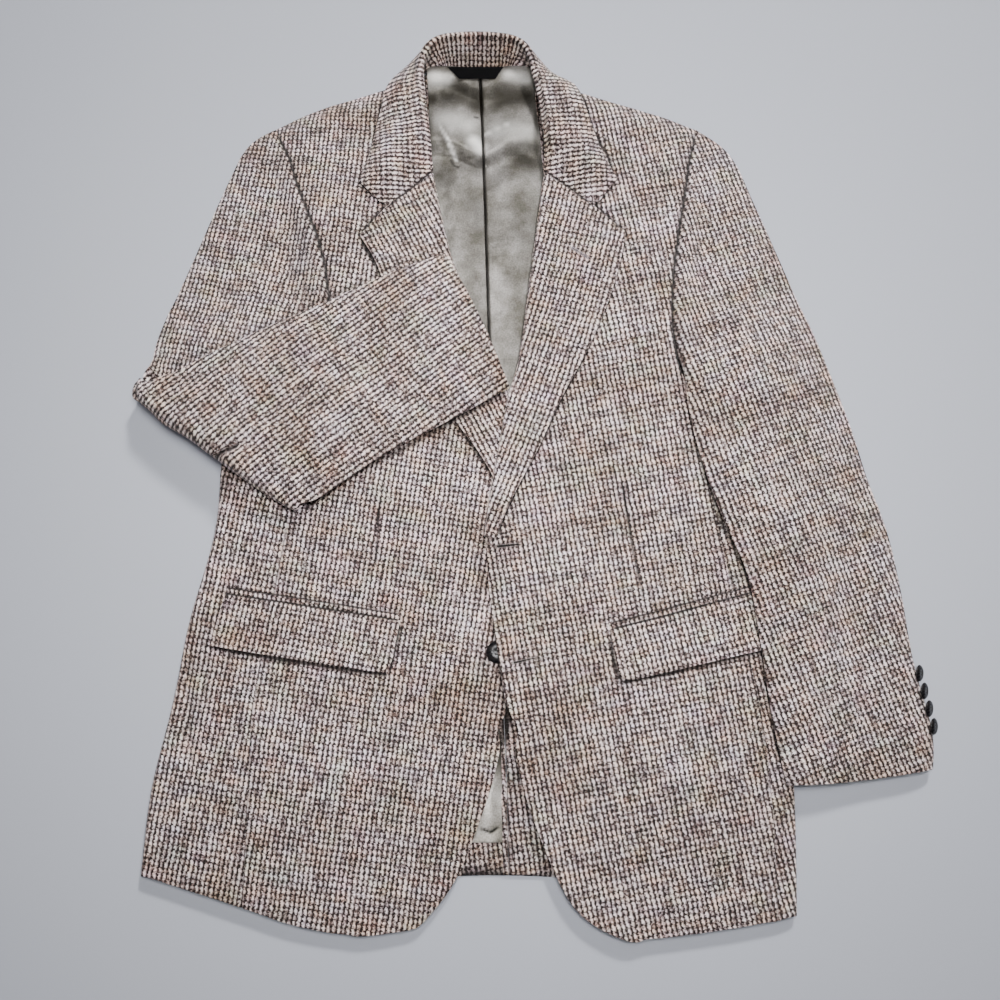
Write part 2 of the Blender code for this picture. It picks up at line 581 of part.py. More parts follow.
def make_front(jacket, side, tweed, below):
    """A front, from its side seam to its edge and up to the shoulder."""
    grid, armhole = front_grid(side)
    if below:
        jacket.settle(grid, CLOTH, below, reach=0.004, samples=7)
    jacket.seams[f"front_armhole_{side}"] = armhole
    if side == "right":
        jacket.add("front_right", wall(grid, CLOTH, {"left": "upright", "top": "level"}), tweed)
    else:
        mirrored = [row[::-1] for row in grid]
        jacket.add("front_left", wall(mirrored, CLOTH, {"right": "upright", "top": "level"}), tweed)


# ---------------------------------------------------------------- lapels and collar
def make_lapel(jacket, side, tweed, below):
    """The facing: it turns round the front's edge and lies on the front as the lapel."""
    right = side == "right"
    rows = 17
    roll = curve(ROLL_RIGHT if right else ROLL_LEFT, rows)
    edge = curve(LAPEL_EDGE_RIGHT if right else LAPEL_EDGE_LEFT, rows)
    notch = Vector((*(NOTCH_RIGHT if right else NOTCH_LEFT), 0.0))
    for line in (roll, edge):
        for point in line:
            point.z = 0.0
    gorge = spread([roll[-1], notch], even(5)) + spread([notch, edge[-1]], even(4))[1:]
    foot = spread([roll[0], edge[0]], shares_of(gorge))
    plan = coons(foot, gorge, roll, edge)
    turns = (-12.0, 20.0, 54.0)
    grid = []
    for i, places in enumerate(plan):
        out = (places[1] - places[0]).normalized()
        inside = places[0] + out * 0.009
        skin = jacket.height([f"front_{side}"], inside.x, inside.y, 0.002)
        middle = skin - CLOTH / 2.0
        row = []
        for angle in turns:
            turn = math.radians(angle)
            bend = places[0] + out * (LAPEL_ROLL_RADIUS * (1.0 - math.cos(turn)))
            row.append(bend + UP * (middle + LAPEL_ROLL_RADIUS * math.sin(turn)))
        crest = middle + LAPEL_ROLL_RADIUS
        width = (places[-1] - places[0]).length
        first = min(LAPEL_ROLL_RADIUS / width, 0.8)
        marks = shares_of(places)
        for share in [first] + [first + (1.0 - first) * mark for mark in marks[1:]]:
            point = spread(places, [share])[0]
            lie = jacket.height(below, point.x, point.y) + REST_GAP + FACING
            free = (share - first) / (1.0 - first)
            point.z = lie + max(0.0, crest + 0.0006 - lie) * (1.0 - free) ** 2.5
            row.append(point)
        if i == rows - 1:
            for point, target in zip(row[len(turns) + 1:], gorge[1:]):
                point.x, point.y = target.x, target.y
        grid.append(row)
    start = len(turns)
    top = [row[start:] for row in grid]
    rises = jacket.lifts([[p - UP * FACING for p in row] for row in top], below, reach=0.002)
    for row, rise in zip(grid, rises):
        for point, amount in zip(row[start:], rise):
            point.z += amount
        for point, share in zip(row[:start], (0.0, 0.45, 0.8)):
            point.z += rise[0] * share
    if right:
        grid = [row[::-1] for row in grid]
    jacket.add(f"facing_{side}", wall(grid, FACING), tweed)


def belt(start, centre, radius, end, arc):
    """Section of a fold: from `start` round a circle to `end`, as (s, z) pairs."""
    to_centre = centre - start
    arrive = math.atan2(to_centre.y, to_centre.x) + math.asin(min(1.0, radius / to_centre.length))
    to_end = end - centre
    leave = math.atan2(to_end.y, to_end.x) - math.asin(min(1.0, radius / to_end.length))
    while leave > arrive:
        leave -= 2.0 * math.pi
    points = []
    for t in even(arc):
        angle = arrive + (leave - arrive) * t + math.pi / 2.0
        points.append(centre + Vector((math.cos(angle), math.sin(angle))) * radius)
    return points


def make_collar(jacket, tweed, below):
    """The collar: the stand rises from the neck seam, folds over, and falls on the shoulders."""
    rows = 33
    places = even(rows)
    neck = curve([row[0:3] for row in COLLAR], places)
    fold = curve([row[3:6] for row in COLLAR], places)
    fall = curve([row[6:8] for row in COLLAR], places)
    arc = 6
    grid = []
    for i in range(rows):
        notch = {0: NOTCH_RIGHT, rows - 1: NOTCH_LEFT}.get(i)
        if notch is None:
            path = [fold[i].xy, fall[i].xy]
        else:
            path = [fold[i].xy, Vector(notch) + Vector((0.0, 0.0006)), fall[i].xy]
        path = [Vector((p.x, p.y, 0.0)) for p in path]
        out = (path[1] - path[0]).normalized()
        level_neck = Vector((neck[i].x, neck[i].y, 0.0))
        foot = jacket.height(below, neck[i].x, neck[i].y, 0.002)
        start = Vector(((level_neck - path[0]).dot(out), max(neck[i].z, foot + REST_GAP)))
        length = sum((b - a).length for a, b in zip(path, path[1:]))
        under = jacket.height(below, *(path[0] + out * 0.009).xy, 0.003)
        crest = max(fold[i].z, under + REST_GAP + 2.0 * COLLAR_FOLD_RADIUS)
        centre = Vector((COLLAR_FOLD_RADIUS, crest - COLLAR_FOLD_RADIUS))
        turn = belt(start, centre, COLLAR_FOLD_RADIUS, Vector((length, COLLAR_EDGE_Z)), arc)
        first = path[0] + out * turn[0].x
        row = []
        for t in (0.0, 0.35, 0.7):
            point = level_neck.lerp(first, t)
            row.append(point + UP * (start.y + (turn[0].y - start.y) * t))
        row += [path[0] + out * spot.x + UP * spot.y for spot in turn]
        tail = turn[-1].x / length
        for t in (0.2, 0.45, 0.7, 1.0):
            share = tail + (1.0 - tail) * t
            point = spread(path, [share])[0]
            row.append(point + UP * (turn[-1].y + (COLLAR_EDGE_Z - turn[-1].y) * t))
        grid.append(row)
    stand_end = 4
    stand = [row[:stand_end] for row in grid]
    rises = jacket.lifts(stand, below, reach=0.002)
    for row, rise in zip(grid, rises):
        for k, point in enumerate(row[:stand_end]):
            point.z += rise[k]
    top = [[p + UP * CLOTH for p in row[:stand_end]] for row in grid]
    points = [p for row in top for p in row]
    faces = [(i * stand_end + j, i * stand_end + j + 1, (i + 1) * stand_end + j + 1, (i + 1) * stand_end + j)
             for i in range(rows - 1) for j in range(stand_end - 1)]
    jacket.note("collar_stand", points, faces)
    fall_start = stand_end + 4
    reach = [[p - UP * CLOTH for p in row[fall_start:]] for row in grid]
    rises = jacket.lifts(reach, below + ["collar_stand"], reach=0.002)
    for row, rise in zip(grid, rises):
        for point, amount in zip(row[fall_start:], rise):
            point.z += amount
    jacket.add("collar", wall([row[::-1] for row in grid], CLOTH), tweed)


# ---------------------------------------------------------------- sleeves
ARMHOLE_OPEN = [0.0, 0.6, 1.0, 1.0, 1.0, 1.0, 1.0, 1.0]   # the tube's body side opens above the underarm


class Tube:
    """A flattened sleeve: its plan, its half-thickness, and the height of its floor.

    Rows run from the cuff or the elbow up, and columns run from the body side (u = 0) to the outer
    edge (u = 1).  `armhole` rows at the top lie beside the armhole, where the body side is open.
    """

    def __init__(self, jacket, plan, across, half, below, armhole=0, least=None):
        self.plan = plan
        self.across = across
        self.half = half
        self.first_open = len(plan) - armhole
        self.armhole = armhole
        low = [[Vector((p.x, p.y, self.middle(i, u) - self.bulge(i, u))) for p, u in zip(row, across)]
               for i, row in enumerate(plan)]
        seam_from = self.first_open if armhole else None
        self.base = jacket.lifts(low, below, least=least, seam_from=seam_from, steepest=SLEEVE_DRAPE)
        for row in self.base:
            row[0] = row[1] = max(row[0], row[1])
            row[-1] = row[-2] = max(row[-1], row[-2])

    def openness(self, i):
        """How open the body side is in row i: 0 is a rounded edge."""
        return ARMHOLE_OPEN[i - self.first_open] if self.armhole and i >= self.first_open else 0.0

    def middle(self, i, u):
        """Half-thickness of the tube: it thins towards the tip of the shoulder."""
        if not self.armhole:
            return self.half
        height = smoothstep((i - self.first_open - 2.0) / (self.armhole - 3.0))
        return self.half + (SHOULDER_Z - self.half) * height * smoothstep((u - 0.45) / 0.55)

    def profile(self, i, u):
        """Shape of the section: 0 at a rounded edge, 1 where the two layers are furthest apart."""
        rounded = (1.0 - abs(2.0 * u - 1.0) ** SLEEVE_SQUARENESS) ** (1.0 / SLEEVE_SQUARENESS)
        return rounded + (1.0 - rounded) * self.openness(i) if u < 0.5 else rounded

    def bulge(self, i, u, inset=0.0):
        """Distance of a skin from the tube's middle."""
        return (self.middle(i, u) - inset) * self.profile(i, u)

    def skin(self, side, inset=0.0):
        """One skin of the tube: side 1 is above and -1 below; `inset` gives the inside of the wall."""
        rows = []
        for i, places in enumerate(self.plan):
            row = []
            for j, u in enumerate(self.across):
                way = (places[min(j + 1, len(places) - 1)] - places[max(j - 1, 0)]).normalized()
                sideways = inset * (1.0 - 2.0 * u) * (1.0 - self.openness(i) if u < 0.5 else 1.0)
                height = self.middle(i, u) + side * (self.bulge(i, u, inset) + SEAM_GAP / 2.0)
                row.append(places[j] + way * sideways + UP * max(0.0, self.base[i][j] + height))
            rows.append(row)
        return rows


def join_armhole(skins, near_goals, last_goals, puff):
    """Draw the two skins of one layer to an armhole: down the body side and along the last row."""
    outer, inner = skins
    last = len(outer) - 1
    first = last - len(near_goals) + 1
    ends = [goal - point for goal, point in zip(last_goals, outer[last])]
    falls = []
    for row in outer:
        reach = min(0.050, 0.85 * (row[-1] - row[0]).xy.length)
        falls.append([1.0 - smoothstep((p - row[0]).xy.length / reach) for p in row])
    for i in range(first, last + 1):
        change = near_goals[i - first] - outer[i][0]
        weight = smoothstep((i - last + 2.5) / 2.5)
        for j, fall in enumerate(falls[i]):
            shift = change * fall + (ends[j] - ends[0] * falls[last][j]) * weight
            outer[i][j] += shift
            inner[i][j] += shift
    for j, point in enumerate(outer[last]):
        along = last_goals[min(j + 1, len(last_goals) - 1)] - last_goals[max(j - 1, 0)]
        step = inner[last][j] - point
        side = -step.xy.length if 2 * j > len(last_goals) else step.xy.length
        inner[last][j] = point + Vector((along.x, along.y, 0.0)).normalized() * side + UP * step.z
    for i in range(max(first - 3, 0), last + 1):
        swell = puff * math.sin(math.pi * min(1.0, (last - i) / (last - first + 3.0)))
        for j in range(1, len(outer[i]) - 1):
            rise = swell * math.sin(math.pi * min(1.0, 3.5 * j / len(outer[i])))
            outer[i][j].z += rise
            inner[i][j].z += rise


def along_seam(line, count):
    """Points along the last two stretches of an armhole line, its corner among them."""
    half = count // 2
    points = [line[-3].lerp(line[-2], k / half) for k in range(half + 1)]
    rest = count - 1 - half
    return points + [line[-2].lerp(line[-1], k / rest) for k in range(1, rest + 1)]


def hang_sleeve(jacket, side, low, inner_edge, outer_edge, rows, half, below, puff):
    """A sleeve from its lower end to the armhole: the tube, and its two layers' skins."""
    sign = -1.0 if side == "right" else 1.0
    front = nudged(jacket.seams[f"front_armhole_{side}"], sign * SEAM_GAP)
    back = nudged(jacket.seams[f"back_armhole_{side}"], sign * SEAM_GAP)
    back = [front[0].copy()] + back
    count = len(front)
    across = crowded(count)
    level = [Vector((p.x, p.y, 0.0)) for p in front]
    near = curve(inner_edge, rows)[:-1] + level[:-2]
    far = curve(outer_edge, shares_of(near))
    far[-1] = level[-1]
    plan = coons(low, along_seam(level, count), near, far)
    tube = Tube(jacket, plan, across, half, below, armhole=count - 2)
    above = (tube.skin(1.0), tube.skin(1.0, SLEEVE))
    under = (tube.skin(-1.0), tube.skin(-1.0, SLEEVE))
    floor = [row[0].z for row in under[0][tube.first_open + 1:]]
    back_goals = [Vector((p.x, p.y, max(p.z, z))) for p, z in zip(back[1:-2], floor)]
    join_armhole(above, front[1:-2], along_seam(front, count), puff)
    join_armhole(under, back_goals, along_seam(back, count), 0.0)
    return tube, above, under


def make_left_sleeve(jacket, tweed):
    """The straight sleeve: top sleeve and under sleeve, open at the cuff."""
    cuff = curve(LEFT_CUFF, crowded(len(ARMHOLE_LEFT)))
    below = ["front_left", "side_body_left", "pocket_flap_left", "pocket_jet_left"]
    _, above, under = hang_sleeve(jacket, "left", cuff, LEFT_SLEEVE_INNER, LEFT_SLEEVE_OUTER, 15,
                                  LEFT_SLEEVE_HALF, below, 0.0025)
    jacket.add("sleeve_left_top", solid_between(*above), tweed)
    jacket.add("sleeve_left_under", solid_between(*under), tweed)


def level_across(line):
    """Level direction across a line, to its left."""
    along = (line[-1] - line[0]).normalized()
    return Vector((-along.y, along.x, 0.0))


def make_right_sleeve(jacket, tweed):
    """The folded sleeve.

    The top sleeve shows from the armhole to the elbow.  The under sleeve runs below it, turns
    round the elbow's fold and shows on the forearm.  The layers between are one rounded solid.
    """
    half = RIGHT_SLEEVE_HALF
    count = len(ARMHOLE_RIGHT)
    fold = curve(ELBOW_FOLD[::-1], crowded(count))
    inward = level_across(fold) * -1.0
    start = [p + inward * 2.0 * half for p in fold]
    inner_edge = [start[0]] + vectors(RIGHT_SLEEVE_INNER[1:])
    outer_edge = [start[-1]] + vectors(RIGHT_SLEEVE_OUTER[1:])
    arm, above, under = hang_sleeve(jacket, "right", start, inner_edge, outer_edge, 8, half,
                                    ["front_right", "side_body_right"], 0.0025)
    jacket.add("sleeve_right_top", solid_between(above[0][1:], above[1][1:]), tweed)

    rows = 15
    lower_edge = curve([start[0]] + vectors(FOREARM_LOWER[1:]), rows)
    upper_edge = curve([start[-1]] + vectors(FOREARM_UPPER[1:]), rows)
    plan = coons(start, curve(RIGHT_CUFF[::-1], crowded(count)), lower_edge, upper_edge)
    below = ["sleeve_right_top", "front_right", "side_body_right", "facing_right", "facing_left", "front_left",
             "collar"] + [f"button_cuff_right_{k}" for k in range(1, 5)]
    least = [[height + 2.0 * half for height in arm.base[0]]] + [[0.0] * count for _ in range(rows - 1)]
    forearm = Tube(jacket, plan, arm.across, half, below, least=least)
    sheets = []
    for inset, floor in ((0.0, under[0]), (SLEEVE, under[1])):
        sheet = [[p.copy() for p in row] for row in floor[::-1]]
        sheet += elbow_rows(arm, forearm, fold, inward, inset)
        sheet += forearm.skin(1.0, inset)
        sheets.append(sheet)
    jacket.add("sleeve_right_under", solid_between(*sheets), tweed)
    make_hidden_layers(jacket, forearm, tweed)


def elbow_rows(arm, forearm, fold, inward, inset):
    """Rows of the under sleeve round the elbow's fold, from the upper arm to the forearm."""
    half = arm.half
    along = (fold[-1] - fold[0]).normalized()
    rows = []
    for angle in (-60.0, -30.0, 0.0, 30.0, 60.0):
        turn = math.radians(angle)
        row = []
        for j, u in enumerate(arm.across):
            bulge = arm.bulge(0, u, inset) + SEAM_GAP / 2.0
            bottom = arm.base[0][j] + half - bulge
            top = forearm.base[0][j] + half + bulge
            place = fold[j] + inward * (2.0 * half - (half + bulge) * math.cos(turn))
            place = place + along * inset * (1.0 - 2.0 * u)
            row.append(place + UP * ((bottom + top) / 2.0 + (top - bottom) / 2.0 * math.sin(turn)))
        rows.append(row)
    return rows


def make_hidden_layers(jacket, forearm, tweed):
    """The folded sleeve's inner layers as one rounded solid, a plain wall at the open cuff."""
    outer = forearm.skin(-1.0)[2:]
    plain = forearm.skin(-1.0, SLEEVE)[2:]
    cover = forearm.skin(1.0, SLEEVE)[2:]
    last = len(outer) - 1
    for i in range(last + 1):
        fill = smoothstep((0.84 - i / last) / 0.12)
        for j in range(1, len(forearm.across) - 1):
            plain[i][j].z += max(0.0, cover[i][j].z - 0.0014 - plain[i][j].z) * fill
    jacket.add("sleeve_right_fold", solid_between(outer, plain), tweed)


# ---------------------------------------------------------------- pockets, lining and label
def make_pocket(jacket, side, corners, tweed):
    """A hip pocket's flap and the jet that it hangs from."""
    below = [f"front_{side}", f"side_body_{side}"]
    flap = four_sided(corners, 13, 5)
    left, right = vectors(corners[:2])
    column = -1 if side == "right" else 0
    flap[0][column] = flap[0][column].lerp(flap[1][column].lerp(flap[0][-2 if side == "right" else 1], 0.5), 0.55)
    jacket.lay(f"pocket_flap_{side}", flap, FLAP, below, tweed)
    up = level_across([left, right])
    low_left, low_right = left + up * SEAM_GAP, right + up * SEAM_GAP
    strip = [low_left + up * JET_WIDTH, low_right + up * JET_WIDTH, low_right, low_left]
    jacket.lay(f"pocket_jet_{side}", four_sided(strip, 13, 2), JET, below, tweed)


def centre_x(y):
    """Place of the back's centre seam at height y."""
    for a, b in zip(CENTRE_BACK, CENTRE_BACK[1:]):
        if y <= b[1]:
            return a[0] + (b[0] - a[0]) * (y - a[1]) / (b[1] - a[1])
    return CENTRE_BACK[-1][0]


def make_lining(jacket, satin):
    """The lining, only where it shows: two halves in the neck, and the skirt above the hem."""
    for side in ("right", "left"):
        grid = []
        for v in even(12):
            y = LINING_TOP_Y + (LINING_LOW_Y - LINING_TOP_Y) * (1.0 - v)
            width = table_value(LINING_HALF, 1.0 - v, 1 if side == "right" else 2)
            row = []
            for near in even(7) if side == "left" else even(7)[::-1]:
                x = centre_x(y) + (near * width + SEAM_GAP / 2.0) * (1.0 if side == "left" else -1.0)
                puff = 0.0020 * math.sin(math.pi * min(1.0, near * 1.15)) * math.sin(math.pi * (0.10 + 0.72 * v))
                row.append(Vector((x, y, CLOTH + SEAM_GAP + LINING + max(0.0, puff))))
            grid.append(row)
        jacket.add(f"lining_{side}", wall(grid, LINING), satin)
    grid = []
    for v in even(8):
        y = SKIRT_LOW_Y + (SKIRT_TOP_Y - SKIRT_LOW_Y) * v
        z = CLOTH + SEAM_GAP + LINING + 0.0008 * math.sin(math.pi * v)
        grid.append([Vector((SKIRT_LEFT_X + (centre_x(y) - SKIRT_INSET - SKIRT_LEFT_X) * u, y, z)) for u in even(5)])
    jacket.add("lining_skirt", wall(grid, LINING), satin)


def make_vent(jacket, tweed):
    """The turned-in edges of the vent, on each side of the opening."""
    low_y = CENTRE_BACK[0][1] + 0.0015
    for side, near, far in (("left", 0.0008, 0.0460), ("right", -0.0050, -0.0008)):
        grid = []
        for v in even(7):
            y = low_y + (VENT_TOP - low_y) * v
            z = CLOTH + SEAM_GAP + FLAP
            grid.append([Vector((centre_x(y) + near + (far - near) * u, y, z)) for u in even(3)])
        jacket.add(f"vent_facing_{side}", wall(grid, FLAP), tweed)


# ---------------------------------------------------------------- buttons
def button_profile(name, size, horn):
    """Half section of a button with a raised rim: it is turned by a Screw modifier."""
    r, h = size["radius"], size["height"]
    profile = [(0.0, h * 0.62), (r * 0.60, h * 0.62), (r * 0.78, h), (r, h * 0.60), (r * 0.86, 0.0), (0.0, 0.0)]
    mesh = bpy.data.meshes.new(name)
    mesh.from_pydata([(x, 0.0, z) for x, z in profile], [(k, k + 1) for k in range(len(profile) - 1)], [])
    mesh.materials.append(horn)
    return mesh


def place_button(jacket, name, mesh, place, axis):
    """Put a button with its back at `place` and its face along `axis`."""
    button = bpy.data.objects.new(name, mesh)
    button.location = place
    button.rotation_mode = "QUATERNION"
    button.rotation_quaternion = UP.rotation_difference(Vector(axis).normalized())
    jacket.collection.objects.link(button)
    screw = button.modifiers.new("turn", "SCREW")
    screw.steps = 14
    screw.render_steps = 14
    screw.use_merge_vertices = True
    screw.merge_threshold = 0.00001
    screw.use_smooth_shade = False
    bpy.context.view_layer.update()
    turned = button.evaluated_get(bpy.context.evaluated_depsgraph_get())
    jacket.note(name, [turned.matrix_world @ v.co for v in turned.data.vertices],
                [tuple(p.vertices) for p in turned.data.polygons])


def seat_along(jacket, names, place, axis, radius):
    """Slide a disc's centre along its axis until the disc just clears the named pieces."""
    axis = Vector(axis).normalized()
    side = axis.orthogonal().normalized()
    other = axis.cross(side)
    worst = -1.0
    for ring in (0.0, 0.5, 0.86, 1.0):
        for k in range(16):
            angle = math.pi * k / 8.0
            spot = place + (side * math.cos(angle) + other * math.sin(angle)) * radius * ring
            for name in names:
                hit = jacket.surfaces[name].ray_cast(spot + axis * 0.1, -axis)[0]
                if hit is not None:
                    worst = max(worst, (hit - place).dot(axis))
    return place + axis * (worst + SEAM_GAP)


def make_front_buttons(jacket, mesh):
    """Two buttons on the right front, under the left front's edge."""
    for name, x, y, tilt in (("button_front_top", 0.0005, -0.0410, 0.0), ("button_front_low", -0.0022, -0.1430, 0.0)):
        axis = Vector((-tilt, 0.0, 1.0))
        place = seat_along(jacket, ["front_right", "facing_right"], Vector((x, y, 0.0)), axis, FRONT_BUTTON["radius"])
        place_button(jacket, name, mesh, place, axis)


def make_left_cuff_buttons(jacket, mesh):
    """Four buttons on the outer edge of the straight sleeve, facing outward."""
    outer = smooth_line(LEFT_SLEEVE_OUTER)
    length = sum((b - a).length for a, b in zip(outer, outer[1:]))
    for k in range(4):
        place = spread(outer, [(0.038 + CUFF_BUTTON_PITCH * k) / length])[0]
        axis = Vector((0.93, -0.12, 0.34)).normalized()
        place = place + UP * 0.0090
        place = seat_along(jacket, ["sleeve_left_top", "sleeve_left_under"], place, axis, CUFF_BUTTON["radius"])
        place_button(jacket, f"button_cuff_left_{k + 1}", mesh, place, axis)


def make_right_cuff_buttons(jacket, mesh):
    """Four buttons near the folded cuff; they face down, between the forearm and the chest."""
    corner, before = vectors([FOREARM_UPPER[-1], FOREARM_UPPER[-2]])
    back = (before - corner).normalized()
    inside = Vector((-back.y, back.x, 0.0)) * 0.010
    for k in range(4):
        place = corner + back * (0.038 + CUFF_BUTTON_PITCH * k) + inside
        below = ["front_right", "facing_right", "collar"]
        place = seat_along(jacket, below, place, UP, CUFF_BUTTON["radius"]) + UP * CUFF_BUTTON["height"]
        place_button(jacket, f"button_cuff_right_{k + 1}", mesh, place, -UP)


# ---------------------------------------------------------------- assembly
def clear_scene():
    """Remove every object of the open file."""
    for old in list(bpy.data.objects):
        bpy.data.objects.remove(old, do_unlink=True)


def material(name, colour, roughness, sheen=0.0):
    """A plain Principled material."""
    made = bpy.data.materials.new(name)
    made.use_nodes = True
    shader = made.node_tree.nodes["Principled BSDF"]
    shader.inputs["Base Color"].default_value = (*colour, 1.0)
    shader.inputs["Roughness"].default_value = roughness
    shader.inputs["Metallic"].default_value = 0.0
    shader.inputs["Sheen Weight"].default_value = sheen
    return made


def stand_on_origin(collection):
    """Move the jacket so that the middle of its footprint is at the origin."""
    bpy.context.view_layer.update()
    graph = bpy.context.evaluated_depsgraph_get()
    points = []
    for piece in collection.objects:
        made = piece.evaluated_get(graph)
        points += [made.matrix_world @ vert.co for vert in made.data.vertices]
    middle_x = (min(p.x for p in points) + max(p.x for p in points)) / 2.0
    middle_y = (min(p.y for p in points) + max(p.y for p in points)) / 2.0
    lowest = min(p.z for p in points)
    frame = bpy.data.objects.new("jacket_frame", None)
    frame.location = (-middle_x, -middle_y, -lowest)
    for piece in collection.objects:
        piece.parent = frame
    collection.objects.link(frame)


def main():
    """Build the jacket from the floor up, each piece on the ones below it."""
    clear_scene()
    collection = bpy.data.collections.new("hacking_jacket")
    bpy.context.scene.collection.children.link(collection)
    tweed = material("tweed", (0.235, 0.185, 0.160), 0.92, 0.3)
    satin = material("lining_satin", (0.420, 0.405, 0.370), 0.38)
    woven = material("label_woven", (0.010, 0.010, 0.011), 0.55)
    horn = material("button_horn", (0.012, 0.012, 0.016), 0.22)
    front_button = button_profile("button_front", FRONT_BUTTON, horn)
    cuff_button = button_profile("button_cuff", CUFF_BUTTON, horn)
    jacket = Jacket(collection)

    for side in ("right", "left"):
        make_back(jacket, side, tweed)
        make_side(jacket, side, tweed)
    make_lining(jacket, satin)
    make_vent(jacket, tweed)
    jacket.lay("label", four_sided(LABEL_CORNERS, 7, 3), LABEL, ["lining_left", "lining_right"], woven)

    make_front(jacket, "right", tweed, [])
    make_lapel(jacket, "right", tweed, ["front_right"])
    make_front_buttons(jacket, front_button)
    make_front(jacket, "left", tweed, ["front_right", "facing_right", "button_front_top", "button_front_low"])
    jacket.lay("breast_welt", four_sided(WELT, 9, 3), JET, ["front_left"], tweed)
    make_lapel(jacket, "left", tweed, ["front_left", "breast_welt"])
    make_collar(jacket, tweed, ["front_left", "front_right", "back_left", "back_right"])
    make_pocket(jacket, "right", FLAP_RIGHT, tweed)
    make_pocket(jacket, "left", FLAP_LEFT, tweed)
    make_left_sleeve(jacket, tweed)
    make_left_cuff_buttons(jacket, cuff_button)
    make_right_cuff_buttons(jacket, cuff_button)
    make_right_sleeve(jacket, tweed)
    stand_on_origin(collection)


main()
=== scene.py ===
"""The looks of the tweed hacking jacket, laid face up with its right sleeve folded across the chest.

Places in the tables are metres from the jacket's waist, like the source's tables; `at` moves them
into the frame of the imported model.
"""
import math

import bmesh
import bpy
import numpy as np
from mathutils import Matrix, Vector, noise
from mathutils.bvhtree import BVHTree


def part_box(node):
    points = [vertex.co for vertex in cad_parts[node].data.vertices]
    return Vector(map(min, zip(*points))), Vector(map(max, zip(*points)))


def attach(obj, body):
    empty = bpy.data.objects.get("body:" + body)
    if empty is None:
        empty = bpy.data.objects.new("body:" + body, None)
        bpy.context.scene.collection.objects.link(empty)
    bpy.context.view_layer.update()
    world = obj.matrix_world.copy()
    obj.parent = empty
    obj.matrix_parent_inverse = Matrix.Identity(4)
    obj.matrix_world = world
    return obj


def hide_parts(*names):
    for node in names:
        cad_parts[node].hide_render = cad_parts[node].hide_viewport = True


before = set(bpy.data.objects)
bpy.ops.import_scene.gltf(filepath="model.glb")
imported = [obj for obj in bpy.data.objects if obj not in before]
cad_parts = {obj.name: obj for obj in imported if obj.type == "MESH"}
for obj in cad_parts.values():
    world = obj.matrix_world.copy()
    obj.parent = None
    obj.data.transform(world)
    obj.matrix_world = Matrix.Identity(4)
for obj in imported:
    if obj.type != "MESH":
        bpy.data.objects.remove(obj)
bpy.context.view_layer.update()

SHIFT = Vector((-0.0299, -0.0388, 0.0))    # from the waist to the middle of the jacket's footprint
WEAVE_PITCH = (0.0044, 0.0053)             # one warp column, one weft row
UP = Vector((0.0, 0.0, 1.0))
CORNER_ANGLE = 140.0       # a rim that turns to less than this is a corner, and stays sharp
FLAT = ("back_left", "back_right", "vent_facing_left", "vent_facing_right")    # they lie on the floor

# How each piece's warp lies: direction of its axis from +Y, clockwise in degrees, then rows of
# place along that axis and lean there.
GRAIN = {
    "front_right": (0.0, [(-0.38, 7.5), (-0.05, 9.0), (0.15, 8.5), (0.30, 6.0), (0.42, 1.0)]),
    "side_body_right": (0.0, [(-0.37, 9.0), (-0.15, 9.0), (0.05, 13.0)]),
    "front_left": (0.0, [(-0.38, -11.5), (-0.15, -10.0), (0.10, -10.5), (0.40, -11.5)]),
    "side_body_left": (0.0, [(-0.37, -13.5), (0.10, -13.0)]),
    "back_right": (0.0, [(-0.34, -9.5), (-0.10, -6.0), (0.40, -2.0)]),
    "back_left": (0.0, [(-0.34, -8.0), (-0.10, -6.0), (0.40, -2.0)]),
    "vent_facing_right": (0.0, [(-0.34, -9.5), (-0.10, -6.0)]),
    "vent_facing_left": (0.0, [(-0.34, -8.0), (-0.10, -6.0)]),
    "facing_right": (-27.5, [(0.0, 0.0), (0.3, 0.0)]),
    "facing_left": (19.0, [(-0.05, 4.0), (0.10, 1.0), (0.28, -5.0)]),
    "sleeve_left_top": (-18.5, [(-0.34, -1.5), (-0.05, -1.5), (0.20, 1.5), (0.36, 2.0)]),
    "sleeve_left_under": (-18.5, [(-0.34, -1.5), (-0.05, -1.5), (0.20, 1.5), (0.36, 2.0)]),
    "sleeve_right_top": (10.0, [(0.0, 3.5), (0.20, 1.0), (0.36, -2.0)]),
    "sleeve_right_under": (54.5, [(-0.30, -7.0), (-0.16, -1.5), (-0.05, 0.0), (0.15, 0.0)]),
    "sleeve_right_fold": (54.5, [(-0.30, 0.0), (0.15, 0.0)]),
    "pocket_flap_right": (11.0, [(-0.2, 0.0), (0.0, 0.0)]),
    "pocket_jet_right": (11.0, [(-0.2, 0.0), (0.0, 0.0)]),
    "pocket_flap_left": (-14.0, [(-0.2, 0.0), (0.0, 0.0)]),
    "pocket_jet_left": (-14.0, [(-0.2, 0.0), (0.0, 0.0)]),
    "breast_welt": (-11.0, [(0.1, 0.0), (0.2, 0.0)]),
}

# The collar's warp runs across it, from its fold line: x, y of the fold, round the neck.
COLLAR_FOLD = [
    (-0.066, 0.290), (-0.069, 0.360), (-0.074, 0.398), (-0.075, 0.426), (-0.061, 0.451), (-0.021, 0.4555),
    (0.017, 0.450), (0.031, 0.422), (0.037, 0.396), (0.0425, 0.356), (0.046, 0.290)]
COLLAR_CREST_Z = 0.034     # height of the fold behind the neck

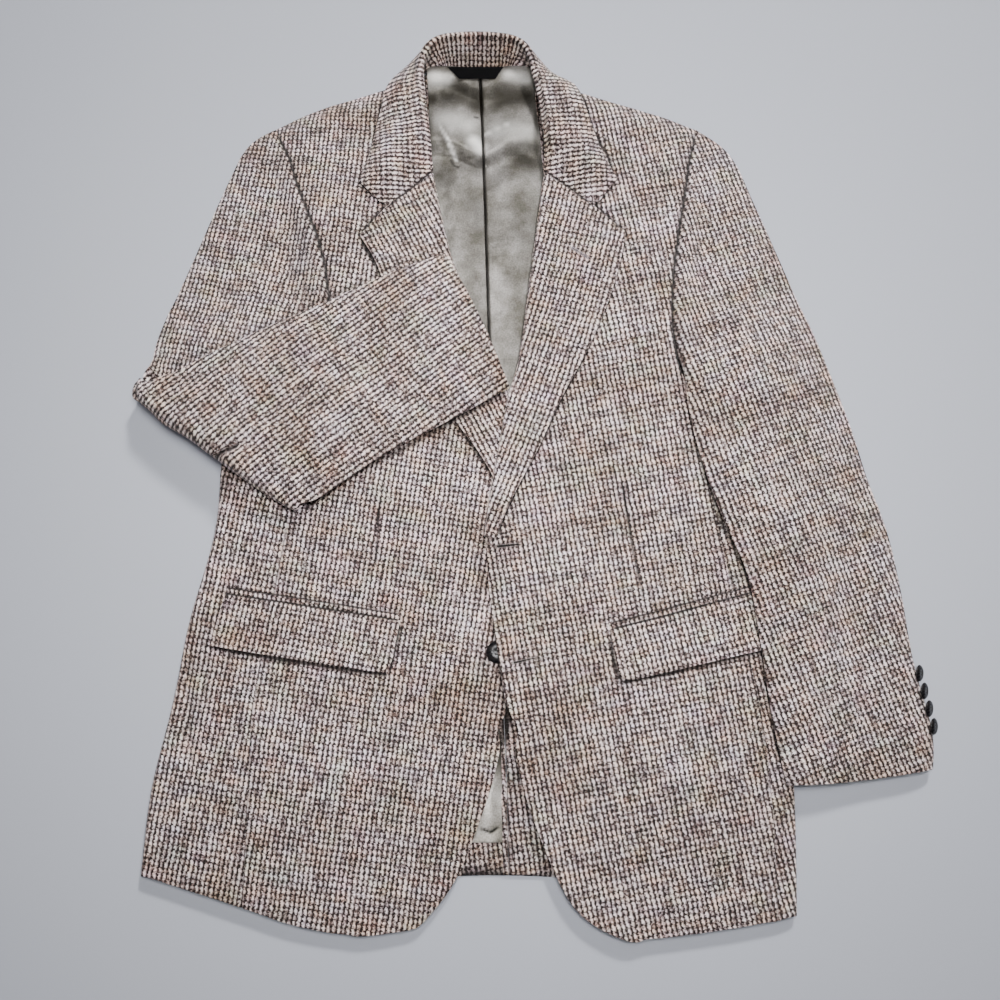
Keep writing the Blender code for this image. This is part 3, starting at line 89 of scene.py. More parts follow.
# Edges and seams that several reliefs follow: x, y.
FLAP_TOP_RIGHT = [(-0.2560, -0.0895), (-0.2000, -0.0975), (-0.1450, -0.1060), (-0.0925, -0.1142)]
JET_TOP_RIGHT = [(-0.2550, -0.0838), (-0.1990, -0.0918), (-0.1440, -0.1003), (-0.0915, -0.1085)]
FLAP_LOW_RIGHT = [(-0.2650, -0.1380), (-0.2050, -0.1490), (-0.1500, -0.1575), (-0.1010, -0.1640)]
FLAP_END_RIGHT = [(-0.0920, -0.1180), (-0.0955, -0.1400), (-0.1010, -0.1620)]
FLAP_TOP_LEFT = [(0.1020, -0.1222), (0.1500, -0.1105), (0.2000, -0.0970), (0.2460, -0.0850)]
JET_TOP_LEFT = [(0.1005, -0.1168), (0.1485, -0.1050), (0.1985, -0.0915), (0.2445, -0.0795)]
FLAP_LOW_LEFT = [(0.1090, -0.1710), (0.1550, -0.1620), (0.2050, -0.1500), (0.2520, -0.1390)]
FLAP_END_LEFT = [(0.1010, -0.1250), (0.1030, -0.1480), (0.1090, -0.1690)]
ARMHOLE_RIGHT = [(-0.1745, 0.112), (-0.1665, 0.138), (-0.1630, 0.168), (-0.1630, 0.195), (-0.1680, 0.225),
                 (-0.1780, 0.260), (-0.1955, 0.302), (-0.2080, 0.340), (-0.2175, 0.358), (-0.2225, 0.372)]
ARMHOLE_LEFT = [(0.1735, 0.112), (0.1670, 0.138), (0.1635, 0.164), (0.1640, 0.190), (0.1670, 0.225),
                (0.1730, 0.262), (0.1800, 0.300), (0.1862, 0.336), (0.1918, 0.3555), (0.1945, 0.3715)]
SIDE_SEAM_RIGHT = [(-0.228, -0.368), (-0.226, -0.281), (-0.224, -0.192), (-0.211, -0.105), (-0.198, -0.025)]
SIDE_SEAM_LEFT = [(0.246, -0.379), (0.244, -0.281), (0.236, -0.192), (0.218, -0.105), (0.202, -0.025)]
LAPEL_RIGHT = [(0.0070, -0.039), (-0.0070, 0.021), (-0.0450, 0.077), (-0.0790, 0.128), (-0.1030, 0.178),
               (-0.1165, 0.222), (-0.1340, 0.253)]
LAPEL_LEFT = [(-0.0035, -0.038), (0.0080, -0.008), (0.0360, 0.046), (0.0580, 0.094), (0.0800, 0.134),
              (0.1030, 0.188), (0.1155, 0.232), (0.1200, 0.256)]
FRONT_EDGE_LEFT = [(0.150, -0.392), (0.095, -0.391), (0.078, -0.380), (0.062, -0.360), (0.050, -0.338),
                   (0.037, -0.308), (0.022, -0.267), (0.010, -0.215), (0.001, -0.160), (-0.006, -0.110)]
FRONT_EDGE_RIGHT = [(-0.150, -0.391), (-0.093, -0.390), (-0.073, -0.384), (-0.057, -0.370), (-0.043, -0.349),
                    (-0.022, -0.302), (-0.008, -0.262), (0.003, -0.215), (0.012, -0.160)]
SLEEVE_LOW = [(0.0057, 0.1010), (-0.0350, 0.0785), (-0.0885, 0.0475), (-0.1415, 0.0205), (-0.1837, -0.0125)]
SLEEVE_HIGH = [(-0.3274, 0.1173), (-0.2793, 0.1371), (-0.2286, 0.1589), (-0.1644, 0.1902),
               (-0.1152, 0.2152), (-0.0927, 0.226), (-0.0577, 0.2331)]
SLEEVE_INNER = [(0.1832, 0.0500), (0.1912, 0.0270), (0.2018, -0.0070), (0.2080, -0.0295), (0.2250, -0.0630),
                (0.2330, -0.0890), (0.2385, -0.1275), (0.2400, -0.1460), (0.2450, -0.1835), (0.2500, -0.2260),
                (0.2570, -0.2490)]
GORGE_RIGHT = [(-0.0600, 0.3290), (-0.0830, 0.3070), (-0.1120, 0.2810)]
GORGE_LEFT = [(0.0400, 0.3260), (0.0670, 0.3050), (0.0925, 0.2820)]
NOTCH_RIGHT = [(-0.1121, 0.4157), (-0.1204, 0.3785), (-0.1266, 0.3449), (-0.1360, 0.3105), (-0.1112, 0.2860),
               (-0.1243, 0.2703), (-0.1345, 0.2550), (-0.1276, 0.2377), (-0.1156, 0.2185)]
NOTCH_LEFT = [(0.0793, 0.4136), (0.0916, 0.3680), (0.1078, 0.3334), (0.1130, 0.3136), (0.0925, 0.2860),
              (0.1068, 0.2714), (0.1200, 0.2581), (0.1169, 0.2337)]
CENTRE_BACK = [(0.008, -0.345), (0.005, -0.227), (-0.004, -0.050), (-0.011, 0.160), (-0.017, 0.348), (-0.021, 0.440)]

# Folds, seams and lifted edges: pieces, rise, half-width, share of the line that fades at each end, line. The narrow
# sunken rows are also painted near black as shade, in the seams, under the edges that lie on them and in the slot
# between the fronts.
RELIEF = [
    ("front_right sleeve_right_top", -0.0024, 0.0024, 0.04, ARMHOLE_RIGHT),
    ("sleeve_right_top", 0.0020, 0.0070, 0.25, [(-0.174, 0.150), (-0.173, 0.195), (-0.179, 0.228), (-0.189, 0.262),
                                                (-0.206, 0.303), (-0.217, 0.338)]),
    ("front_left sleeve_left_top", -0.0026, 0.0026, 0.04, ARMHOLE_LEFT),
    ("sleeve_left_top", 0.0020, 0.0070, 0.25, [(0.177, 0.115), (0.1735, 0.150), (0.1735, 0.190), (0.1765, 0.226),
                                               (0.1830, 0.262), (0.190, 0.300), (0.196, 0.334)]),
    ("front_right side_body_right", -0.0005, 0.0013, 0.03, SIDE_SEAM_RIGHT),
    ("front_left side_body_left", -0.0004, 0.0013, 0.03, SIDE_SEAM_LEFT),
    ("front_right side_body_right pocket_flap_right pocket_jet_right", -0.0017, 0.0013, 0.02, FLAP_TOP_RIGHT),
    ("front_right side_body_right pocket_jet_right", -0.0012, 0.0012, 0.02, JET_TOP_RIGHT),
    ("pocket_flap_right", 0.0030, 0.0110, 0.10, FLAP_LOW_RIGHT),
    ("pocket_flap_right", 0.0010, 0.0080, 0.10, FLAP_END_RIGHT),
    ("front_left side_body_left pocket_flap_left pocket_jet_left", -0.0017, 0.0013, 0.02, FLAP_TOP_LEFT),
    ("front_left side_body_left pocket_jet_left", -0.0012, 0.0012, 0.02, JET_TOP_LEFT),
    ("pocket_flap_left", 0.0026, 0.0110, 0.10, FLAP_LOW_LEFT),
    ("pocket_flap_left", 0.0012, 0.0080, 0.10, FLAP_END_LEFT),
    # Where the lapels, collar, flaps, fronts and sleeves lie on these pieces: a slight sink, painted as shade along the
    # edge.
    ("front_left breast_welt", -0.0010, 0.0026, 0.02, LAPEL_LEFT),
    ("front_right", -0.0010, 0.0026, 0.02, LAPEL_RIGHT),
    ("front_right", -0.0010, 0.0026, 0.02, NOTCH_RIGHT),
    ("front_left", -0.0010, 0.0026, 0.02, NOTCH_LEFT),
    ("front_right side_body_right", -0.0012, 0.0030, 0.02, FLAP_LOW_RIGHT),
    ("front_left side_body_left", -0.0012, 0.0030, 0.02, FLAP_LOW_LEFT),
    ("front_right", -0.0010, 0.0022, 0.05, FLAP_END_RIGHT),
    ("front_left", -0.0010, 0.0022, 0.05, FLAP_END_LEFT),
    ("front_right", -0.0010, 0.0028, 0.02, FRONT_EDGE_LEFT),
    ("front_right side_body_right facing_right facing_left front_left", -0.0008, 0.0042, 0.03, SLEEVE_LOW),
    ("sleeve_right_top front_right facing_right", -0.0005, 0.0028, 0.10, SLEEVE_HIGH),
    ("front_left side_body_left pocket_flap_left pocket_jet_left", -0.0008, 0.0034, 0.05, SLEEVE_INNER),
    ("facing_left", 0.0026, 0.0120, 0.12, LAPEL_LEFT),
    ("facing_right", 0.0022, 0.0110, 0.12, LAPEL_RIGHT),
    ("front_left", 0.0034, 0.0120, 0.12, FRONT_EDGE_LEFT),
    ("front_right", 0.0018, 0.0100, 0.12, FRONT_EDGE_RIGHT),
    ("collar facing_right", -0.0010, 0.0016, 0.05, GORGE_RIGHT),
    ("collar facing_left", -0.0010, 0.0016, 0.05, GORGE_LEFT),
    ("front_right", -0.0014, 0.0019, 0.20, [(-0.1115, 0.004), (-0.1135, -0.030), (-0.1160, -0.072)]),
    ("front_left", -0.0014, 0.0019, 0.20, [(0.1125, 0.024), (0.1205, -0.036), (0.1325, -0.100)]),
    ("sleeve_right_under", -0.0035, 0.0050, 0.3, [(-0.137, 0.047), (-0.160, 0.031), (-0.186, 0.012)]),
    ("sleeve_right_under", -0.0023, 0.0060, 0.3, [(-0.149, 0.060), (-0.142, 0.036)]),
    ("sleeve_right_under", -0.0029, 0.0140, 0.3, [(-0.168, 0.113), (-0.198, 0.077), (-0.220, 0.049)]),
    ("sleeve_right_under", -0.0060, 0.0030, 0.18, [(-0.272, 0.024), (-0.258, 0.037), (-0.236, 0.046)]),
    ("sleeve_right_under", 0.0035, 0.0110, 0.3, [(-0.262, 0.054), (-0.236, 0.062), (-0.200, 0.056)]),
    ("sleeve_right_under", 0.0020, 0.0070, 0.3, [(-0.256, 0.028), (-0.240, 0.036), (-0.222, 0.038)]),
    ("sleeve_right_under", 0.0020, 0.0180, 0.3, [(-0.150, 0.150), (-0.100, 0.165), (-0.060, 0.170)]),
    ("sleeve_right_under", -0.0017, 0.0150, 0.3, [(-0.110, 0.120), (-0.070, 0.130), (-0.035, 0.120)]),
    ("sleeve_right_under", -0.0020, 0.0120, 0.3, [(-0.318, 0.098), (-0.276, 0.108), (-0.238, 0.128)]),
    ("sleeve_right_top", -0.0026, 0.0110, 0.3, [(-0.290, 0.160), (-0.268, 0.196), (-0.240, 0.216)]),
    ("sleeve_right_top", -0.0035, 0.0075, 0.3, [(-0.199, 0.165), (-0.203, 0.205), (-0.214, 0.262)]),
    ("sleeve_right_top", 0.0023, 0.0130, 0.3, [(-0.236, 0.160), (-0.246, 0.215), (-0.246, 0.272)]),
    ("sleeve_left_top", -0.0032, 0.0110, 0.3, [(0.253, -0.055), (0.259, -0.123), (0.263, -0.190)]),
    ("sleeve_left_top", 0.0022, 0.0150, 0.3, [(0.280, -0.030), (0.292, -0.110), (0.300, -0.200)]),
    ("sleeve_left_top", -0.0035, 0.0110, 0.3, [(0.196, 0.150), (0.215, 0.090), (0.226, 0.030)]),
    ("sleeve_left_top", -0.0026, 0.0120, 0.3, [(0.292, 0.128), (0.272, 0.074), (0.262, 0.020)]),
    ("sleeve_left_top", -0.0022, 0.0120, 0.3, [(0.330, -0.010), (0.322, -0.080), (0.330, -0.140)]),
    ("sleeve_left_top", -0.0026, 0.0065, 0.3, [(0.200, 0.275), (0.196, 0.230), (0.196, 0.190)]),
    ("front_right", -0.0023, 0.0100, 0.3, [(-0.196, -0.020), (-0.205, -0.060), (-0.214, -0.088)]),
    ("front_right", -0.0026, 0.0140, 0.3, [(-0.092, -0.190), (-0.098, -0.262), (-0.112, -0.350)]),
    ("front_right", 0.0023, 0.0160, 0.3, [(-0.150, -0.185), (-0.158, -0.270), (-0.172, -0.360)]),
    ("front_right", -0.0023, 0.0120, 0.3, [(-0.130, 0.235), (-0.136, 0.300), (-0.128, 0.350)]),
    ("front_left", -0.0023, 0.0130, 0.3, [(0.066, -0.010), (0.058, -0.060), (0.052, -0.105)]),
    ("front_left", -0.0026, 0.0150, 0.3, [(0.105, -0.200), (0.112, -0.280), (0.120, -0.370)]),
    ("front_left", 0.0023, 0.0160, 0.3, [(0.160, -0.190), (0.172, -0.270), (0.182, -0.360)]),
    ("front_left", -0.0029, 0.0090, 0.3, [(0.152, 0.215), (0.150, 0.250), (0.156, 0.290)]),
    ("front_left", -0.0020, 0.0120, 0.3, [(0.120, 0.300), (0.128, 0.340), (0.146, 0.366)]),
    ("side_body_right", -0.0043, 0.0055, 0.3, [(-0.290, -0.140), (-0.284, -0.200), (-0.281, -0.262)]),
    ("side_body_right", -0.0023, 0.0080, 0.3, [(-0.246, -0.010), (-0.252, -0.060), (-0.262, -0.096)]),
    ("facing_left", 0.0012, 0.0160, 0.3, [(0.080, 0.250), (0.070, 0.190), (0.050, 0.120)]),
    ("facing_right", 0.0010, 0.0150, 0.3, [(-0.100, 0.250), (-0.086, 0.215), (-0.070, 0.180)]),
    ("lining_skirt", 0.0016, 0.0034, 0.2, [(-0.0200, -0.3080), (-0.0100, -0.3130), (0.0010, -0.3090)]),
    ("lining_skirt", 0.0016, 0.0036, 0.2, [(-0.0030, -0.2500), (-0.0080, -0.2720), (-0.0060, -0.2950)]),
    ("lining_skirt", -0.0010, 0.0020, 0.2, [(-0.0190, -0.3000), (-0.0080, -0.3040), (0.0000, -0.2980)]),
    # The slot between the fronts, and the back hem's edge below: painted near black as shade.
    ("back_left back_right vent_facing_left vent_facing_right lining_skirt", -0.0010, 0.0044, 0.15,
     [(0.0100, -0.1780), (0.0066, -0.2080), (0.0040, -0.2330)]),
    ("back_left back_right vent_facing_left vent_facing_right lining_skirt", -0.0010, 0.0044, 0.15,
     [(0.0070, -0.1780), (0.0032, -0.2080), (0.0008, -0.2330)]),
    ("back_left back_right vent_facing_left vent_facing_right", -0.0010, 0.0014, 0.02, [(-0.036, -0.3418), (0.062, -0.3418)]),
    ("lining_right", -0.0007, 0.0016, 0.1, [(-0.0500, 0.3400), (-0.0455, 0.3335), (-0.0400, 0.3310)]),
    ("lining_right", 0.0011, 0.0050, 0.3, [(-0.0600, 0.3860), (-0.0530, 0.3640), (-0.0480, 0.3400)]),
    ("lining_right", -0.0008, 0.0016, 0.1, [(-0.0265, 0.3848), (-0.0215, 0.3842)]),
]

# The lining billows between the fronts: y of each crest, rise, half-lengths above and below it.
BILLOWS = {
    "lining_right": [(0.4250, 0.0070, 0.012, 0.0120), (0.3500, 0.0085, 0.034, 0.0075), (0.3020, 0.0026, 0.022, 0.020),
                     (0.2280, 0.0024, 0.026, 0.030), (0.1500, 0.0018, 0.024, 0.030)],
    "lining_left": [(0.4260, 0.0070, 0.012, 0.0130), (0.3500, 0.0080, 0.036, 0.0065), (0.3060, 0.0026, 0.020, 0.020),
                    (0.2350, 0.0028, 0.030, 0.026), (0.1600, 0.0020, 0.030, 0.030)],
}
PLEAT_RISE = 0.0030        # how high the lining stands beside the centre pleat's opening
PLEAT_HALF = 0.0018        # how far from the opening it reaches that height
LINING_STRETCH = 0.0040    # how much further up the lining reaches, under the collar
# Painted shade where the satin's folds turn away from the light: x, y, half-width, reach up, reach down, depth.
PAINTED_DIMS = [
    (-0.0420, 0.4060, 0.024, 0.013, 0.0130, 1.00), (-0.0240, 0.4020, 0.012, 0.018, 0.0130, 1.00),
    (0.0130, 0.4030, 0.030, 0.016, 0.0120, 1.00), (-0.0690, 0.4080, 0.009, 0.010, 0.0110, 1.00),
    (-0.0300, 0.3390, 0.018, 0.004, 0.0140, 0.75), (0.0250, 0.3420, 0.016, 0.003, 0.0180, 0.95),
    (0.0050, 0.3300, 0.014, 0.006, 0.0140, 0.45), (-0.0600, 0.3200, 0.020, 0.016, 0.0200, 0.45),
    (-0.0200, 0.2900, 0.030, 0.012, 0.0240, 0.40), (0.0200, 0.2700, 0.016, 0.020, 0.0300, 0.30),
    (0.0360, 0.3900, 0.003, 0.060, 0.0600, 0.70), (-0.0700, 0.3600, 0.004, 0.045, 0.0450, 0.60),
    (-0.0020, -0.2300, 0.014, 0.030, 0.0240, 1.00),
]
# Painted highlights where they catch the light: strength, half-width, line.
PAINTED_SHINES = [
    (0.95, 0.0060, [(-0.0260, 0.3570), (-0.0190, 0.3490)]), (0.75, 0.0016, [(-0.0600, 0.3730), (-0.0430, 0.3390)]),
    (0.70, 0.0022, [(-0.0148, 0.3640), (0.0080, 0.3748)]), (0.45, 0.0110, [(-0.0540, 0.3800), (-0.0320, 0.3740)]),
    (0.35, 0.0120, [(-0.0020, 0.3700), (0.0240, 0.3660)]), (0.55, 0.0060, [(-0.0660, 0.4250), (-0.0520, 0.4225)]),
    (0.50, 0.0055, [(0.0080, 0.4262), (0.0270, 0.4240)]),
]
BACK_SHADE = 0.22          # the back between the fronts lies in their shade
LABEL_TOP = (-0.0528, 0.0032)      # the label's ends along its top, x
LABEL_LOW = (-0.0405, -0.0045)     # and along its bottom
LABEL_Y = (0.4218, 0.4360)         # its bottom and top, y

# The collar's ends are pressed flat onto the fronts along the gorge, and the welt onto the front:
# piece, share of its height that is left, reach, height of what it is pressed on at both ends, line.
PRESSED = [
    ("collar", 0.22, 0.036, 0.0165, 0.0215, GORGE_RIGHT),
    ("collar", 0.22, 0.036, 0.0165, 0.0215, GORGE_LEFT),
]

# Small moves in plan: pieces, place, height from and to, move, reach.
NUDGES = [
    ("sleeve_right_under sleeve_right_top", (-0.343, 0.104), (-0.02, 0.027), (-0.0085, -0.0115), 0.016),
    ("sleeve_right_under sleeve_right_top", (-0.338, 0.117), (-0.02, 0.027), (-0.0050, 0.0045), 0.012),
    ("sleeve_right_under", (-0.3265, 0.098), (0.027, 0.060), (-0.0075, -0.0055), 0.014),
    ("sleeve_right_under", (-0.331, 0.112), (0.027, 0.060), (0.0, -0.0040), 0.010),
    ("sleeve_right_under", (-0.318, 0.070), (-0.02, 0.060), (-0.0045, -0.0045), 0.022),
    ("back_left back_right vent_facing_left vent_facing_right", (0.010, -0.345), (-0.02, 0.02), (0.0, 0.0030), 0.060),
    ("front_right", (0.0055, -0.212), (-0.02, 0.06), (-0.0052, 0.0), 0.013),
    ("front_left", (0.0055, -0.212), (-0.02, 0.06), (0.0080, 0.0), 0.013),
]

# Cloth pieces: subdivision level, cut width, cut length, cut area, and what they lie on.
CLOTH = {
    "back_left": (2, 0.275, 0.800, 0.1650, ["floor"]),
    "back_right": (2, 0.275, 0.800, 0.1700, ["floor"]),
    "side_body_left": (3, 0.130, 0.500, 0.0500, ["floor"]),
    "side_body_right": (3, 0.165, 0.490, 0.0680, ["floor"]),
    "lining_left": (3, 0.075, 0.385, 0.0225, ["back_left"]),
    "lining_right": (3, 0.070, 0.385, 0.0170, ["back_right"]),
    "lining_skirt": (3, 0.080, 0.150, 0.0113, ["back_right"]),
    "vent_facing_left": (2, 0.060, 0.245, 0.0120, ["back_left"]),
    "vent_facing_right": (2, 0.010, 0.245, 0.0014, ["back_right"]),
    "front_right": (3, 0.260, 0.820, 0.1490, ["back_right"]),
    "facing_right": (3, 0.150, 0.370, 0.0225, ["front_right"]),
    "front_left": (3, 0.270, 0.820, 0.1500, ["back_left"]),
    "breast_welt": (3, 0.100, 0.024, 0.0020, ["front_left"]),
    "facing_left": (3, 0.140, 0.370, 0.0218, ["front_left"]),
    "collar": (3, 0.430, 0.080, 0.0315, ["front_left", "front_right"]),
    "pocket_flap_right": (3, 0.170, 0.060, 0.0085, ["front_right"]),
    "pocket_jet_right": (3, 0.170, 0.010, 0.0012, ["front_right"]),
    "pocket_flap_left": (3, 0.160, 0.060, 0.0080, ["front_left"]),
    "pocket_jet_left": (3, 0.160, 0.010, 0.0011, ["front_left"]),
    "sleeve_left_under": (3, 0.190, 0.660, 0.0810, ["floor", "side_body_left"]),
    "sleeve_left_top": (3, 0.210, 0.660, 0.0830, ["sleeve_left_under"]),
    "sleeve_right_top": (3, 0.180, 0.370, 0.0400, ["sleeve_right_under"]),
    "sleeve_right_fold": (2, 0.200, 0.260, 0.0380, ["front_right"]),
    "sleeve_right_under": (3, 0.200, 0.680, 0.0910, ["front_right"]),
}

# What each piece must clear in the render, with the gap kept.
CLEARS = {
    "front_left": ["front_right", "facing_right"],
    "facing_right": ["front_right"],
    "breast_welt": ["front_left"],
    "facing_left": ["front_left", "breast_welt"],
    "collar": ["front_left", "front_right", "back_left", "back_right"],
    "pocket_flap_right": ["front_right", "side_body_right"],
    "pocket_jet_right": ["front_right", "side_body_right"],
    "pocket_flap_left": ["front_left", "side_body_left"],
    "pocket_jet_left": ["front_left", "side_body_left"],
    "sleeve_left_under": ["front_left", "side_body_left", "pocket_flap_left", "pocket_jet_left"],
    "sleeve_right_fold": ["front_right", "side_body_right", "facing_right", "front_left", "facing_left"],
}


def at(x, y, z=0.0):
    """A place measured from the waist, in the model's frame."""
    return Vector((x, y, z)) + SHIFT


def smoothstep(value):
    """0 below 0, 1 above 1, and a soft ramp between, for numbers and arrays."""
    t = np.clip(value, 0.0, 1.0)
    return t * t * (3.0 - 2.0 * t)


# ---------------------------------------------------------------- materials
class Nodes:
    """A small helper that adds and links shader nodes."""

    def __init__(self, name):
        self.material = bpy.data.materials.new(name)
        self.material.use_nodes = True
        self.tree = self.material.node_tree
        self.shader = self.tree.nodes["Principled BSDF"]

    def add(self, kind, links=(), **values):
        """A new node, with its inputs linked or set."""
        node = self.tree.nodes.new(kind)
        for key, value in values.items():
            setattr(node, key, value)
        for socket, source in links:
            self.feed(node.inputs[socket], source)
        return node

    def feed(self, socket, source):
        """Link a socket to a node's output, or set its value."""
        if isinstance(source, bpy.types.NodeSocket):
            self.tree.links.new(source, socket)
        elif isinstance(source, bpy.types.Node):
            self.tree.links.new(source.outputs[0], socket)
        else:
            socket.default_value = source

    def maths(self, operation, *sources):
        """A Math node."""
        node = self.add("ShaderNodeMath", operation=operation)
        for socket, source in zip(node.inputs, sources):
            self.feed(socket, source)
        return node.outputs[0]

    def ramp(self, value, low, high, out_low=0.0, out_high=1.0):
        """A smooth step from out_low at low to out_high at high."""
        node = self.add("ShaderNodeMapRange", interpolation_type="SMOOTHSTEP")
        for socket, source in zip(node.inputs, (value, low, high, out_low, out_high)):
            self.feed(socket, source)
        return node.outputs[0]

    def mix(self, share, first, second, blend="MIX"):
        """A colour mix."""
        node = self.add("ShaderNodeMix", data_type="RGBA", blend_type=blend)
        self.feed(node.inputs[0], share)
        self.feed(node.inputs[6], first)
        self.feed(node.inputs[7], second)
        return node.outputs[2]

    def noise(self, vector, scale, detail=2.0, roughness=0.5):
        """A noise texture, as its node."""
        node = self.add("ShaderNodeTexNoise", noise_dimensions="2D")
        self.feed(node.inputs["Vector"], vector)
        node.inputs["Scale"].default_value = scale
        node.inputs["Detail"].default_value = detail
        node.inputs["Roughness"].default_value = roughness
        return node

    def colours(self, value, stops):
        """A colour ramp with (position, colour) stops."""
        node = self.add("ShaderNodeValToRGB")
        self.feed(node.inputs[0], value)
        ramp = node.color_ramp
        while len(ramp.elements) < len(stops):
            ramp.elements.new(0.5)
        for element, (position, colour) in zip(ramp.elements, stops):
            element.position = position
            element.color = (*colour, 1.0)
        return node.outputs[0]


def tweed_material():
    """Tweed: columns of cream dashes over dark brown, mottled, with flecks of dyed wool, and painted shade near black
    in its seams and under the edges that lie on it.
    """
    m = Nodes("tweed_cloth")
    uv = m.add("ShaderNodeUVMap", uv_map="weave").outputs[0]
    wander = m.noise(uv, 55.0, 2.0)
    fuzz = m.noise(uv, 560.0, 2.0, 0.6)
    place = uv
    for source, reach in ((wander, (0.0024, 0.0022, 0.0)), (fuzz, (0.0020, 0.0024, 0.0))):
        push = m.add("ShaderNodeVectorMath", [(0, source.outputs["Color"]), (1, (0.5, 0.5, 0.5))], operation="SUBTRACT")
        push = m.add("ShaderNodeVectorMath", [(0, push.outputs[0]), (1, reach)], operation="MULTIPLY")
        place = m.add("ShaderNodeVectorMath", [(0, place), (1, push.outputs[0])], operation="ADD").outputs[0]
    split = m.add("ShaderNodeSeparateXYZ", [(0, place)])
    row = m.maths("DIVIDE", split.outputs[1], WEAVE_PITCH[1])
    along = m.maths("SUBTRACT", m.maths("FRACT", row), 0.5)
    column = m.maths("DIVIDE", split.outputs[0], WEAVE_PITCH[0])
    column = m.maths("ADD", column, m.maths("MULTIPLY", along, 0.20))
    cell = m.add("ShaderNodeCombineXYZ", [(0, m.maths("FLOOR", column)), (1, m.maths("FLOOR", row))])
    chance = m.add("ShaderNodeTexWhiteNoise", [("Vector", cell.outputs[0])], noise_dimensions="2D")
    picks = m.add("ShaderNodeSeparateColor", [(0, chance.outputs["Color"])])

    warp = m.maths("COSINE", m.maths("MULTIPLY", m.maths("SUBTRACT", m.maths("FRACT", column), 0.5), math.tau))
    weft = m.maths("COSINE", m.maths("MULTIPLY", along, math.tau))
    thick = m.maths("MULTIPLY_ADD", chance.outputs["Value"], 0.18, 0.20)
    level = m.maths("MULTIPLY_ADD", warp, thick, 0.50)
    level = m.maths("ADD", level, m.maths("MULTIPLY", weft, m.maths("MULTIPLY_ADD", picks.outputs[2], 0.12, 0.085)))
    level = m.maths("ADD", level, m.maths("MULTIPLY", m.maths("SUBTRACT", fuzz.outputs["Fac"], 0.5), 1.25))
    level = m.maths("ADD", level, m.maths("MULTIPLY", m.maths("SUBTRACT", picks.outputs[0], 0.5), 0.24))
    for turn, share in (((11.0, 150.0, 1.0), 0.19), ((170.0, 16.0, 1.0), 0.24)):
        yarn = m.add("ShaderNodeMapping", [(0, uv), ("Scale", turn)])
        streak = m.noise(yarn.outputs[0], 1.0, 2.0, 0.55)
        level = m.maths("ADD", level, m.maths("MULTIPLY", m.maths("SUBTRACT", streak.outputs["Fac"], 0.5), share))
    base = m.colours(level, [(0.18, (0.013, 0.008, 0.007)), (0.37, (0.080, 0.054, 0.051)), (0.55, (0.270, 0.203, 0.192)),
                             (0.73, (0.600, 0.487, 0.464)), (0.95, (1.000, 0.865, 0.830))])
    flecks = m.colours(picks.outputs[1], [(0.0, (1.0, 0.72, 0.48)), (0.07, (0.92, 0.62, 0.50)), (0.14, (1.0, 1.0, 1.0)),
                                          (0.86, (1.0, 1.0, 1.0)), (0.93, (0.74, 0.84, 1.0)), (1.0, (0.80, 0.92, 0.74))])
    colour = m.mix(0.16, base, flecks, "MULTIPLY")
    stretch = m.add("ShaderNodeMapping", [(0, uv), ("Scale", (1.0, 1.7, 1.0))])
    cloud = m.noise(stretch.outputs[0], 40.0, 2.0, 0.5)
    blotch = m.colours(cloud.outputs["Fac"], [
        (0.28, (0.84, 0.92, 1.08)), (0.42, (0.96, 0.98, 1.04)), (0.52, (1.0, 0.99, 0.97)), (0.60, (1.04, 0.96, 0.86)),
        (0.74, (1.08, 0.86, 0.66))])
    colour = m.mix(0.50, colour, blotch, "MULTIPLY")
    green = m.noise(uv, 33.0, 2.0)
    moss = m.colours(green.outputs["Fac"], [(0.28, (0.91, 1.02, 0.90)), (0.44, (1.0, 1.0, 1.0)), (0.58, (1.0, 1.0, 1.0)),
                                            (0.74, (1.02, 0.92, 1.0))])
    colour = m.mix(0.75, colour, moss, "MULTIPLY")
    band = m.add("ShaderNodeMapping", [(0, uv), ("Scale", (0.65, 1.5, 1.0))])
    shade = m.noise(band.outputs[0], 13.0, 3.5, 0.55)
    colour = m.mix(1.0, colour, m.colours(shade.outputs["Fac"], [(0.27, (0.74, 0.69, 0.62)), (0.48, (0.97, 0.965, 0.955)),
                                                                 (0.70, (1.15, 1.17, 1.22))]), "MULTIPLY")
    # Painted shade: near black in the seams, under lying edges and over the back between the fronts.
    painted_seam_shadow = m.add("ShaderNodeAttribute", attribute_name="painted_seam_shadow").outputs["Fac"]
    colour = m.mix(m.maths("MULTIPLY", painted_seam_shadow, 0.93), colour, (0.006, 0.004, 0.004, 1.0))
    m.feed(m.shader.inputs["Base Color"], colour)
    m.shader.inputs["Roughness"].default_value = 0.95
    m.shader.inputs["Specular IOR Level"].default_value = 0.15
    m.shader.inputs["Sheen Weight"].default_value = 0.10
    m.shader.inputs["Sheen Roughness"].default_value = 0.6
    height = m.maths("ADD", m.maths("MULTIPLY", level, 0.8), m.maths("MULTIPLY", fuzz.outputs["Fac"], 0.4))
    bump = m.add("ShaderNodeBump", [("Height", height)])
    bump.inputs["Strength"].default_value = 0.85
    bump.inputs["Distance"].default_value = 0.0008
    m.feed(m.shader.inputs["Normal"], bump.outputs[0])
    return m.material


